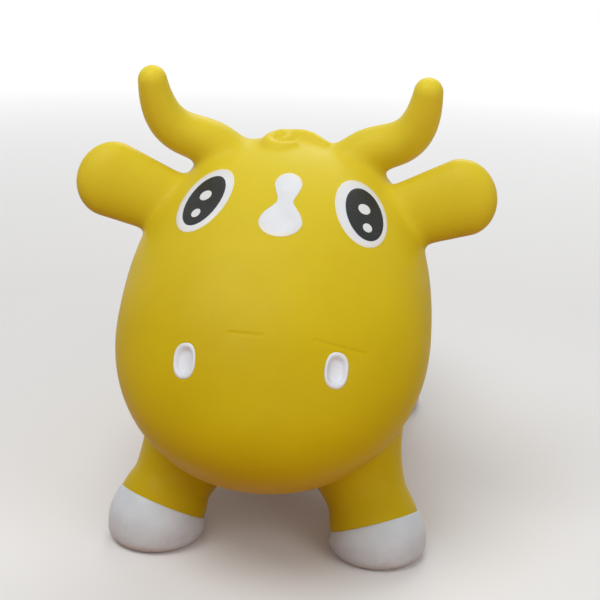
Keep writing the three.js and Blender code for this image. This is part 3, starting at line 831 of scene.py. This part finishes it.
def yellow_vinyl():
    finish = Finish("yellow_vinyl")
    colour = finish.mix(finish.span(finish.noise(90, detail=3), 0, 1), *VINYL)
    # painted light and sheen: the vinyl turns paler with height, from the shoulders up
    painted_light_share = finish.span(finish.height(), 0, 1, PAINTED_LIGHT_START, PAINTED_LIGHT_END)
    specks = finish.span(finish.noise(2.2, detail=4), 0, 0.16, 0.55, 0.8)
    finish.bumps((finish.noise(26, detail=1), 0.35), (finish.noise(1.3, detail=3), 0.035))
    finish.shade(
        {
            "Base Color": finish.mix(specks, finish.mix(painted_light_share, colour, PAINTED_TOP_LIGHT), SPECK),
            "Roughness": finish.span(finish.noise(38, detail=4), 0.36, 0.5),
            "Specular IOR Level": 0.13,
            "Subsurface Weight": 0.12,
            "Subsurface Radius": (1, 0.5, 0.06),
            "Subsurface Scale": 5 * MM,
        }
    )
    return finish.material


def dress(piece, slot, material, *nodes):
    """Finishes a piece, and hides the nodes of the packed model that it stands for."""
    piece.data.materials.append(material)
    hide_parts(*nodes)
    return piece


members = ["barrel_skin", "head_skin", "forelock", "tail"]
members += [f"{part}_{name}" for part in ("horn", "ear", "leg_front", "leg_rear") for name in SIDES]
dress(hopper_skin, "yellow_vinyl", yellow_vinyl(), *members)
print("skin finished in", hopper_skin.data.materials[0].name, "for", len(members), "members")

# %% [markdown]
# ## White and black paint
# The paint is a thin satin coat, sprayed through a mask. It is a little thinner at its edge, where some
# yellow shows through. The hooves' white is a darker, cooler copy of the face's white, which paints in the
# shade under the head. Near the floor they get darker still, partly from dust and scuffs where a rider
# drags them and partly from painted shade. The edge is kept in the mesh as a number on each point, and the
# darkening near the floor follows the height over the floor.

# %% Paints
EDGE = "paint_edge"
# painted shade: a darker, cooler white than the face's, for the shade under the head
SHADED_HOOF_WHITE = srgb(206, 215, 222), srgb(216, 225, 232)
FACE_WHITE = srgb(221, 224, 229), srgb(231, 234, 239)
THIN_WHITE = srgb(232, 210, 120)
# dust near the floor, which also serves as painted shade there
DUST_AND_SHADE = srgb(150, 138, 124)
DUST_AND_SHADE_TOP = 0.04  # metres over the floor
PUPIL_BLACK = srgb(36, 39, 40), srgb(50, 54, 54)


def white_paint(name, whites, dusty_and_shaded=False):
    finish = Finish(name)
    colour = finish.mix(finish.span(finish.noise(22, detail=3), 0, 1), *whites)
    edge = finish.node("ShaderNodeAttribute", "Fac", {}, attribute_name=EDGE)
    colour = finish.mix(finish.span(edge, 0, 0.3, 0.2, 1), colour, THIN_WHITE)
    if dusty_and_shaded:
        # darker towards the floor: some dust and painted shade
        low = finish.span(finish.height(), 1, 0, 0.001, DUST_AND_SHADE_TOP)
        patches = finish.span(finish.noise(7, detail=6, roughness=0.65), 0, 0.3, 0.35, 0.75)
        colour = finish.mix(finish.times(low, patches), colour, DUST_AND_SHADE)
    finish.shade({"Base Color": colour, "Roughness": finish.span(finish.noise(9, detail=4), 0.36, 0.5)})
    finish.bumps((finish.noise(14, detail=1), 0.12), (finish.noise(0.9, detail=3), 0.02))
    return finish.material


def black_paint():
    finish = Finish("black_paint")
    dots = finish.span(finish.noise(1.2, detail=2), 0, 1, 0.4, 0.65)
    gloss = finish.span(finish.noise(6, detail=4), 0.34, 0.46)
    colour = finish.mix(dots, *PUPIL_BLACK)
    finish.shade({"Base Color": colour, "Roughness": gloss, "Specular IOR Level": 0.2})
    finish.bumps((finish.noise(0.8, detail=2), 0.025))
    return finish.material


hoof_paint = white_paint("hoof_paint", SHADED_HOOF_WHITE, dusty_and_shaded=True)
face_paint = white_paint("face_paint", FACE_WHITE)
pupil_paint = black_paint()
print("paints:", hoof_paint.name, face_paint.name, pupil_paint.name)

# %% [markdown]
# ## Lofts
# Hooves, painted areas and the valve all have round sections that follow each other. A loft joins such
# rings with quads. Its ends are closed with a fan to a middle point, or it is closed on itself like a ring.

# %% Lofts
HOOF_SIDES = 72


def loft(name, rings, body, closed=False):
    """A piece through rings of points, each ring as long as the others."""
    sides = len(rings[0])
    points = [p for ring in rings for p in ring]
    faces = []
    for i in range(len(rings) if closed else len(rings) - 1):
        near, far = i * sides, (i + 1) % len(rings) * sides
        faces += [(near + j, near + (j + 1) % sides, far + (j + 1) % sides, far + j) for j in range(sides)]
    if not closed:
        last = (len(rings) - 1) * sides
        first_middle, last_middle = len(points), len(points) + 1
        points += [np.mean(rings[0], axis=0), np.mean(rings[-1], axis=0)]
        faces += [(first_middle, (j + 1) % sides, j) for j in range(sides)]
        faces += [(last_middle, last + j, last + (j + 1) % sides) for j in range(sides)]
    piece = new_piece(name, points, faces, body)
    net = bmesh.new()
    net.from_mesh(piece.data)
    bmesh.ops.recalc_face_normals(net, faces=net.faces)
    net.to_mesh(piece.data)
    net.free()
    return piece


def ring_of(centre, right, up, radius, sides):
    turns = np.arange(sides) * 2 * math.pi / sides
    return centre + radius * (np.cos(turns)[:, None] * right + np.sin(turns)[:, None] * up)


flatness = HOOF_DIAMETER / 2 * (1 - math.cos(math.pi / HOOF_SIDES))
print("a hoof's ring of", HOOF_SIDES, "points stays within", round(flatness, 3), "mm of its circle")

# %% [markdown]
# ## Hooves
# A hoof is the painted end of a leg. Its flat sole has a rounded edge, the wall bulges a little and draws
# in to a crisp rim, which stands just proud of the leg. The rim is square to the leg's line, so it slopes
# as the leg does. It is made as its own piece over the leg, because its rim is sharper than the skin's mesh
# could hold.

# %% Hooves
RIM_ROUND = 0.9
FOOT_TUCK = 0.4  # the wall draws in this much below its bulge
WALL_START = 1.5  # first ring of the wall over the rounded edge
SLOPE_STEP = 0.5  # to each side of a ring, to see which way the leg goes there


def hoof_sections(height):
    """Distance along the leg's line and radius, from the sole up over the rim and down inside it."""
    radius, rim = HOOF_DIAMETER / 2, RIM_DIAMETER / 2
    sole = radius - SOLE_ROUND
    for share in np.linspace(0.15, 0.95, num=4):
        yield 0, sole * share
    for turn in np.linspace(0, math.pi / 2, num=8):
        yield SOLE_ROUND * (1 - math.cos(turn)), sole + SOLE_ROUND * math.sin(turn) - FOOT_TUCK * turn / 2
    bulge = SOLE_ROUND + (height - SOLE_ROUND) / 3
    at = np.linspace(SOLE_ROUND + WALL_START, height - RIM_ROUND, num=14)
    yield from zip(at, profile([(SOLE_ROUND, radius - FOOT_TUCK), (bulge, radius), (height, rim)], at))
    for turn in np.linspace(0, math.pi / 2, num=5)[1:]:
        yield height - RIM_ROUND * (1 - math.sin(turn)), rim - RIM_ROUND * (1 - math.cos(turn))
    yield height - RIM_ROUND, rim - HOOF_LIP - RIM_ROUND
    yield height - 3 * RIM_ROUND, (rim - HOOF_LIP) / 2


def add_hoof(name, side, end):
    line = leg_line(side, end)
    rings = []
    for at, radius in hoof_sections(rim_height(side)):
        before, here, after = walk(line, [max(at - SLOPE_STEP, 0), at, at + SLOPE_STEP])
        tangent = unit(after - before)
        front = unit(np.array([0, 1, 0]) - tangent * tangent[1])
        rings.append(ring_of(here, np.cross(front, tangent), front, radius, HOOF_SIDES))
    return dress(loft(name, rings, "hopper"), "white_paint", hoof_paint, name)


hooves = [add_hoof(f"hoof_{e}_{s}", SIDES[s], ENDS[e]) for s in SIDES for e in ENDS]
print(len(hooves), "hooves of", len(hooves[0].data.vertices), "points")

# %% [markdown]
# ## Painted areas of the face
# Eyes and blaze are coats of paint that follow the curved head. A flat disc would stand off it, so each
# outline is drawn flat, dropped straight onto the skin, and raised by the thickness of the coats under it.
# The coat's edge is rolled over and goes a little way into the skin, so it casts a thin line of shadow.

# %% Films of paint
COAT = 0.4  # thickness of one coat
FILM_EDGE = 0.35  # width of a coat's rolled edge
FILM_RINGS = 12
FILM_MIDDLE = 0.06  # share of the outline that the innermost ring has
THIN_SHARE = 0.8  # beyond this share of the outline the coat gets thinner
DROPS = 12


def drop(points, out, surface):
    """Slides points straight down onto a surface."""
    for _ in range(DROPS):
        points = points - surface(points)[:, None] * out
    return points


def laid_out(place, outline, section):
    """An outline at each share of its size, dropped onto the skin, and each point's height over it."""
    origin, right, up, out = place
    middle = outline.mean(0)
    flat = np.vstack([middle + (outline - middle) * share for share, lift in section])
    lifts = np.repeat([lift for share, lift in section], len(outline))
    return drop(origin + flat[:, :1] * right + flat[:, 1:] * up, out, plain_skin), lifts[:, None]


def film(name, place, outline, coats):
    """A coat of paint inside a flat outline, over other coats where coats is more than 1."""
    rim = 1 - FILM_EDGE / np.linalg.norm(outline - outline.mean(0), axis=1).mean()
    top, foot = coats * COAT, (coats - 2) * COAT
    section = [(share * rim, top) for share in np.linspace(FILM_MIDDLE, 1, FILM_RINGS)]
    section += [((1 + rim) / 2, top - COAT * 0.15), (1, top - COAT / 2)]
    section += [(share, foot) for share in (1, 0.5, FILM_MIDDLE)]
    on_skin, lifts = laid_out(place, outline, section)
    ways = slope(plain_skin, on_skin, plain_skin(on_skin))
    raised = on_skin + lifts / np.linalg.norm(ways, axis=1)[:, None] * ways
    piece = loft(name, raised.reshape(len(section), -1, 3), "hopper")
    edges = [max(0, (share - THIN_SHARE) / (1 - THIN_SHARE)) for share, lift in section for _ in outline]
    edges += [0, 0]  # the two middles, which a loft adds last
    piece.data.attributes.new(EDGE, "FLOAT", "POINT").data.foreach_set("value", edges)
    return piece


def oval(width, length, x=0, y=0, tilt=0, fullness=2, sides=96):
    """A flat outline: an ellipse, or squarer where the fullness is more than 2."""
    turns = np.arange(sides) * 2 * math.pi / sides
    flat = np.stack([np.cos(turns), np.sin(turns)], axis=1)
    flat = np.sign(flat) * np.abs(flat) ** (2 / fullness) * [width / 2, length / 2]
    turn = np.array([[math.cos(tilt), math.sin(tilt)], [-math.sin(tilt), math.cos(tilt)]])
    return flat @ turn + [x, y]


landed = drop(brow[None] + 5 * brow_out, brow_out, plain_skin)
print("a point dropped from 5 mm lands", round(float(np.abs(plain_skin(landed)[0])), 4), "mm off the skin")

# %% [markdown]
# ## Eyes
# An eye is a white oval, a dark pupil and two white glints, sprayed one over the other. The masks of the
# real one sit a little askew, so both eyes drift to the cow's left and turn. Each spot is a coat of its
# own, because a line between two colours in one mesh would be jagged.

# %% Eyes
EYE_RISE = 113.3
EYE_TURN = 32.8
EYE_SIZE = (49.5, 80)
EYE_TILT = 6.5  # the top leans to the middle, in degrees
PUPIL_SIZE = (35.5, 62)
PUPIL_SHIFT = 1.3  # towards the ear
GLINTS = {"upper": (11.5, 12.4, 4.5), "lower": (8.8, 10, -17)}  # width, length and place along the eye
MASK_DRIFT = 1  # the mask sits to the cow's left, in degrees,
MASK_DROP = 0.75  # lower on that side
MASK_ROLL = 2.6  # and turned
PUPIL_DRIFT = np.array([1.3, -1.5])  # the pupils' mask sits to the cow's left and lower, in mm


def add_eye(name, side):
    place = face_place(EYE_RISE - side * MASK_DROP, side * EYE_TURN + MASK_DRIFT)
    tilt = math.radians(side * EYE_TILT - MASK_ROLL)
    x, y = PUPIL_DRIFT + [side * PUPIL_SHIFT, 0]
    spots = {"eye_white": (oval(*EYE_SIZE, tilt=tilt), 1), "pupil": (oval(*PUPIL_SIZE, x, y, tilt), 2)}
    for which, (width, length, along) in GLINTS.items():
        outline = oval(width, length, x - math.sin(tilt) * along, y + math.cos(tilt) * along, tilt)
        spots[f"eye_glint_{which}"] = (outline, 3)
    pieces = []
    for spot, (outline, coats) in spots.items():
        slot, paint = ("black_paint", pupil_paint) if spot == "pupil" else ("white_paint", face_paint)
        node = f"{spot}_{name}"
        pieces.append(dress(film(node, place, outline, coats), slot, paint, node))
    return pieces


eyes = [piece for name, side in SIDES.items() for piece in add_eye(name, side)]
print(len(eyes), "pieces in the eyes")

# %% [markdown]
# ## Blaze
# The white mark on the brow has a round top, a drawn-in neck and a wider foot. Two arcs and a neck give its
# outline with a smooth line through them, which is easier to adjust than a drawn list of points.

# %% Blaze
BLAZE_PLACE = face_place(rise=111.3, turn=2.9)
BLAZE_TOP = (25, 32)  # width and height
BLAZE_TOP_ARC = (125, -125)  # degrees from straight up, over the top to the cow's right
BLAZE_NECK_WIDTH = 15
BLAZE_NECK_SHIFT = 1  # to the cow's right
BLAZE_FOOT = (39, 34)
BLAZE_FOOT_ARC = (-60, -300)  # and back under the foot
BLAZE_FOOT_SHIFT = 3  # the foot stands to the cow's right
BLAZE_LENGTH = 78


def arc(middle, x, size, ends, count=7):
    turns = np.radians(np.linspace(*ends, count))
    return [(x + size[0] / 2 * math.sin(t), middle + size[1] / 2 * math.cos(t)) for t in turns]


def blaze_outline():
    top = (BLAZE_LENGTH - BLAZE_TOP[1]) / 2
    foot = (BLAZE_FOOT[1] - BLAZE_LENGTH) / 2
    neck = (top - BLAZE_TOP[1] / 2 + foot + BLAZE_FOOT[1] / 2) / 2
    marks = arc(top, 0, BLAZE_TOP, BLAZE_TOP_ARC)
    marks += [(-BLAZE_NECK_SHIFT - BLAZE_NECK_WIDTH / 2, neck)]
    marks += arc(foot, -BLAZE_FOOT_SHIFT, BLAZE_FOOT, BLAZE_FOOT_ARC)
    marks += [(-BLAZE_NECK_SHIFT + BLAZE_NECK_WIDTH / 2, neck)]
    return spline([marks[-1], *marks, marks[0], marks[1]], steps=8)[:-1]


blaze = dress(film("blaze", BLAZE_PLACE, blaze_outline(), coats=1), "white_paint", face_paint, "blaze")
print("blaze of", len(blaze.data.vertices), "points")

# %% [markdown]
# ## Nostrils
# Each nostril is a white oval dish. A broad rounded rim stands a little proud of the skin, then a short
# wall goes down to a hollow floor, where the shade gathers. It is lofted from ovals that shrink as they go
# deeper, then back up behind, so it has a real thickness.

# %% Nostrils
NOSTRIL_FULLNESS = 2.4
NOSTRIL_RIM = 0.8  # height of the rim over the skin
DISH_DEPTH = 4.6
DISH_RISE = 1.2  # of the hollow floor, out to its edge
DISH_WALL = 0.8  # thickness at the bottom
# Sections are a share of the outline and a height over the skin.
FLOOR_SHARES = np.linspace(0.08, 0.55, num=7)
WALL_SECTIONS = [(0.6, -2.9), (0.655, -2), (0.695, -1.1), (0.73, -0.3), (0.78, 0.4)]
RIM_SECTIONS = [(0.84, NOSTRIL_RIM), (0.91, NOSTRIL_RIM), (0.96, 0.5), (0.99, 0.1), (1, -0.4)]
BACK_SECTIONS = [(0.99, -1.8), (0.8, -3.6), (0.6, -NOSTRIL_DEPTH), (0.08, -NOSTRIL_DEPTH - DISH_WALL)]


def add_nostril(name, place):
    section = [(share, DISH_RISE * (share / FLOOR_SHARES[-1]) ** 2 - DISH_DEPTH) for share in FLOOR_SHARES]
    section += WALL_SECTIONS + RIM_SECTIONS + BACK_SECTIONS
    outline = oval(NOSTRIL_WIDTH, NOSTRIL_LENGTH, fullness=NOSTRIL_FULLNESS)
    on_skin, lifts = laid_out(place, outline, section)
    rings = (on_skin + lifts * place[-1]).reshape(len(section), -1, 3)
    node = f"nostril_{name}"
    return dress(loft(node, rings, "hopper"), "white_paint", face_paint, node)


nostrils = [add_nostril(name, place) for name, place in NOSTRIL_PLACES.items()]
print(len(nostrils), "nostrils of", len(nostrils[0].data.vertices), "points")

# %% [markdown]
# ## Valve
# In the belly a firm insert is bonded into the skin, and a ribbed plug is pushed into its bore. Both are
# turned shapes, so they are spun from a profile. Moulded edges are never sharp: each corner of the profile
# is cut back and rounded before it is spun.

# %% Rounded profiles
ROUND_POINTS = 5
ROUNDINGS_PER_EDGE = 2.2  # a short edge still has room for the roundings at both its ends


def rounded(corners, radius, closed=False):
    """A profile with each corner rounded. An open profile keeps its two ends."""
    corners = np.asarray(corners, float)
    line = [] if closed else [corners[0]]
    for i in range(0 if closed else 1, len(corners) if closed else len(corners) - 1):
        before, here, after = corners[i - 1], corners[i], corners[(i + 1) % len(corners)]
        shorter = min(np.linalg.norm(before - here), np.linalg.norm(after - here))
        reach = min(radius, shorter / ROUNDINGS_PER_EDGE)
        start, stop = here + unit(before - here) * reach, here + unit(after - here) * reach
        for t in np.linspace(0, 1, ROUND_POINTS):
            line.append(start * (1 - t) ** 2 + here * 2 * t * (1 - t) + stop * t**2)
    return np.array(line if closed else [*line, corners[-1]])


square = rounded([(0, 0), (1, 0), (1, 1), (0, 1)], 0.2, closed=True)
print("a square with rounded corners has", len(square), "points")

# %% [markdown]
# ## Valve plastic
# Insert and plug are moulded in a firm milky plastic, paler than the paint. A little light enters it, so
# its edges look soft. It gets the same noise as the other finishes, with a finer grain, because a polished
# mould leaves less of it.

# %% Valve plastic
PLASTIC = srgb(236, 234, 226), srgb(243, 242, 237)


def valve_plastic():
    finish = Finish("valve_plastic")
    colour = finish.mix(finish.span(finish.noise(8, detail=3), 0, 1), *PLASTIC)
    finish.shade({"Base Color": colour, "Roughness": finish.span(finish.noise(3, detail=3), 0.3, 0.44)})
    finish.shade({"Subsurface Weight": 0.15, "Subsurface Scale": 2 * MM})
    finish.bumps((finish.noise(0.6, detail=2), 0.015))
    return finish.material


plastic = valve_plastic()
print("plastic:", plastic.name)

# %% [markdown]
# ## Insert and plug
# The insert is a plain ring, so its profile is closed on itself. The plug's profile runs from the middle
# of its head out, up the ribbed stem and back to the axis. The plug rides on its own body, so that it can
# be pulled out.

# %% Insert and plug
VALVE_BORE = 11
INSERT_ROUND = 0.7
PLUG_HEAD_DIAMETER = 18
PLUG_HEAD_THICKNESS = 3
PLUG_CHAMFER = 1
PLUG_STEM_LENGTH = 19
PLUG_TIP_DIAMETER = 7
PLUG_GROOVE = 0.8
PLUG_RIBS = 2
PLUG_ROUND = 0.6
VALVE_SIDES = 64
AXIS_RADIUS = 0.05  # of the ring that closes a piece at its axis


def turned(name, section, body, material, closed=False):
    """A piece spun about the valve's axis from radii and heights over the belly."""
    across, along, up = np.eye(3)
    rings = []
    for radius, height in section:
        centre = VALVE_MOUTH + height * up
        rings.append(ring_of(centre, across, along, max(radius, AXIS_RADIUS), VALVE_SIDES))
    return dress(loft(name, rings, body, closed), "valve_plastic", material, name)


def insert_section():
    bore, neck, top = VALVE_BORE / 2, VALVE_NECK_DIAMETER / 2, VALVE_NECK_LENGTH
    return rounded([(bore, 0), (neck, 0), (neck, top), (bore, top)], INSERT_ROUND, closed=True)


def plug_section():
    head, stem, face = PLUG_HEAD_DIAMETER / 2, VALVE_BORE / 2 - SEAT_GAP, -SEAT_GAP
    bottom, groove = face - PLUG_HEAD_THICKNESS, stem - PLUG_GROOVE
    rib = PLUG_STEM_LENGTH / (2 * PLUG_RIBS + 1)
    corners = [(0, bottom), (head - PLUG_CHAMFER, bottom)]
    corners += [(head, face - PLUG_CHAMFER), (head, face), (stem, face)]
    for i in range(1, PLUG_RIBS + 1):
        low_end, high_end = face + rib * (2 * i - 1), face + rib * 2 * i
        corners += [(stem, low_end), (groove, low_end), (groove, high_end), (stem, high_end)]
    corners += [(PLUG_TIP_DIAMETER / 2, face + PLUG_STEM_LENGTH), (0, face + PLUG_STEM_LENGTH)]
    return rounded(corners, PLUG_ROUND)


turned("valve_seat", insert_section(), "hopper", plastic, closed=True)
valve_plug = turned("valve_plug", plug_section(), "plug", plastic)

# %% [markdown]
# ## Floor
# A plain pale floor runs off into white, so that the eye stays on the toy, and keeps its soft shadow.
# Paint that pale would throw light up until the chin had no shade. So the floor is pale only where it is
# seen, straight or mirrored, and darker and warmer for the light that bounces off it.

# %% Floor
FLOOR_RADIUS = 6
FLOOR_BOUNCE = srgb(170, 108, 62)
FLOOR_SEEN = srgb(240, 239, 238)
FADE_START = 0.7  # metres from the middle, where the floor begins to run off into white
FADE_END = 2.6
WHITE = (1, 1, 1, 1)


def seen_rays(tree):
    """1 where something is seen, straight, mirrored or through glass, and 0 for light that bounces."""
    rays = tree.nodes.new("ShaderNodeLightPath").outputs
    seen = rays["Is Camera Ray"]
    for kind in ("Is Glossy Ray", "Is Transmission Ray"):
        seen = add_node(tree, "ShaderNodeMath", "Value", {0: seen, 1: rays[kind]}, operation="MAXIMUM")
    return seen


def blend_shaders(tree, share, first, second, output):
    blended = add_node(tree, "ShaderNodeMixShader", "Shader", {"Fac": share, 1: first, 2: second})
    tree.links.new(blended, tree.nodes[output].inputs["Surface"])


def pale_floor():
    finish = Finish("pale_floor")
    seen = seen_rays(finish.tree)
    finish.shade({"Base Color": finish.mix(seen, FLOOR_BOUNCE, FLOOR_SEEN), "Roughness": 0.75})
    away = finish.node("ShaderNodeVectorMath", "Value", {0: finish.place}, operation="LENGTH")
    fade = finish.times(seen, finish.span(away, 0, 1, FADE_START, FADE_END))
    glow = finish.node("ShaderNodeEmission", "Emission", {"Color": WHITE, "Strength": 1})
    blend_shaders(finish.tree, fade, finish.shader.outputs["BSDF"], glow, "Material Output")
    return finish.material


def add_floor():
    mesh = bpy.data.meshes.new("floor")
    net = bmesh.new()
    bmesh.ops.create_circle(net, cap_ends=True, radius=FLOOR_RADIUS, segments=128)
    net.to_mesh(mesh)
    net.free()
    mesh.materials.append(pale_floor())
    floor = bpy.data.objects.new("floor", mesh)
    bpy.context.scene.collection.objects.link(floor)
    floor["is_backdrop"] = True


add_floor()
print("floor out to", FLOOR_RADIUS, "m")

# %% [markdown]
# ## Room and lamps
# The toy stands in a white room, which is dim for the light that bounces, so that shade stays in the
# hollows. One big soft lamp hangs high on the cow's right, and weaker ones fill from the left, the front
# and behind. Small lamps would throw hard shadows, so all are wide. The two low ones leave no shine on
# the vinyl.

# %% Room and lamps
ROOM_LIGHT = 0.3  # for the light that bounces, where 1 is the white that is seen
HOPPER_MIDDLE = (0, -0.05, 0.2)
LAMPS = {  # place and width in metres, power in watts, and whether glossy surfaces mirror it
    "key": ((-0.7, -0.9, 2.3), 1.6, 25, True),
    "fill": ((1.5, -1.3, 1.2), 1.4, 9, False),
    "back": ((0.2, 1.6, 1.9), 1.4, 14, True),
    "front": ((0.1, -2.2, 0.9), 1.6, 6, False),
}


def add_world():
    world = bpy.data.worlds.new("white_room")
    world.use_nodes = True
    bpy.context.scene.world = world
    tree = world.node_tree
    light, seen = tree.nodes["Background"], tree.nodes.new("ShaderNodeBackground")
    for background, strength in ((light, ROOM_LIGHT), (seen, 1)):
        background.inputs["Color"].default_value = WHITE
        background.inputs["Strength"].default_value = strength
    room = [background.outputs["Background"] for background in (light, seen)]
    blend_shaders(tree, seen_rays(tree), *room, "World Output")


def add_lamp(name, place, size, power, shine):
    lamp = bpy.data.lights.new(name, "AREA")
    lamp.shape = "DISK"
    lamp.size = size
    lamp.energy = power
    lamp_object = bpy.data.objects.new(name, lamp)
    bpy.context.scene.collection.objects.link(lamp_object)
    lamp_object.visible_glossy = shine
    lamp_object.location = place
    lamp_object.rotation_euler = (Vector(HOPPER_MIDDLE) - Vector(place)).to_track_quat("-Z", "Y").to_euler()


add_world()
for name, (place, size, power, shine) in LAMPS.items():
    add_lamp(name, place, size, power, shine)
print("stage with", len(bpy.data.lights), "lamps")

# %% [markdown]
# ## Camera
# The picture was taken from in front of the toy, a little to the cow's left and above it, and turned a
# touch. The camera stands at that place, with a lens that gives the same view.

# %% Camera
CAMERA_PLACE = np.array([117.1, -1228.5, 582.0])
CAMERA_TURN = math.radians(5.03)
CAMERA_HEIGHT_ANGLE = math.radians(18)
CAMERA_ROLL = math.radians(1.89)
FOCAL_SHARE = 1258.12 / 600  # focal length as a share of the picture's width
SENSOR_WIDTH = 36


def camera_matrix():
    turn, rise, roll = CAMERA_TURN, CAMERA_HEIGHT_ANGLE, CAMERA_ROLL
    back = np.array([math.sin(turn) * math.cos(rise), -math.cos(turn) * math.cos(rise), math.sin(rise)])
    right = np.array([math.cos(turn), math.sin(turn), 0])
    up = np.cross(back, right)
    rolled_right = right * math.cos(roll) + up * math.sin(roll)
    rolled_up = up * math.cos(roll) - right * math.sin(roll)
    matrix = np.eye(4)
    matrix[:3] = np.stack([rolled_right, rolled_up, back, CAMERA_PLACE * MM], axis=1)
    return Matrix(matrix.tolist())


camera_data = bpy.data.cameras.new("camera")
camera_data.sensor_width = SENSOR_WIDTH
camera_data.lens = SENSOR_WIDTH * FOCAL_SHARE
camera = bpy.data.objects.new("camera", camera_data)
bpy.context.scene.collection.objects.link(camera)
camera.matrix_world = camera_matrix()
bpy.context.scene.camera = camera
bpy.context.scene.view_settings.view_transform = "Standard"
print("lens", round(camera_data.lens, 1), "mm")

# %% [markdown]
# ## Size
# The box of the packed model and the box of the dressed one are printed side by side, so that a piece
# that grew shows up at once.

# %% Print the sizes and finish
look_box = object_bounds()
sizes = {"cad": [list(corner) for corner in cad_box], "look": [list(corner) for corner in look_box]}
for name, (lowest, highest) in sizes.items():
    print(name, "box in mm", [round(x / MM, 1) for x in lowest], [round(x / MM, 1) for x in highest])
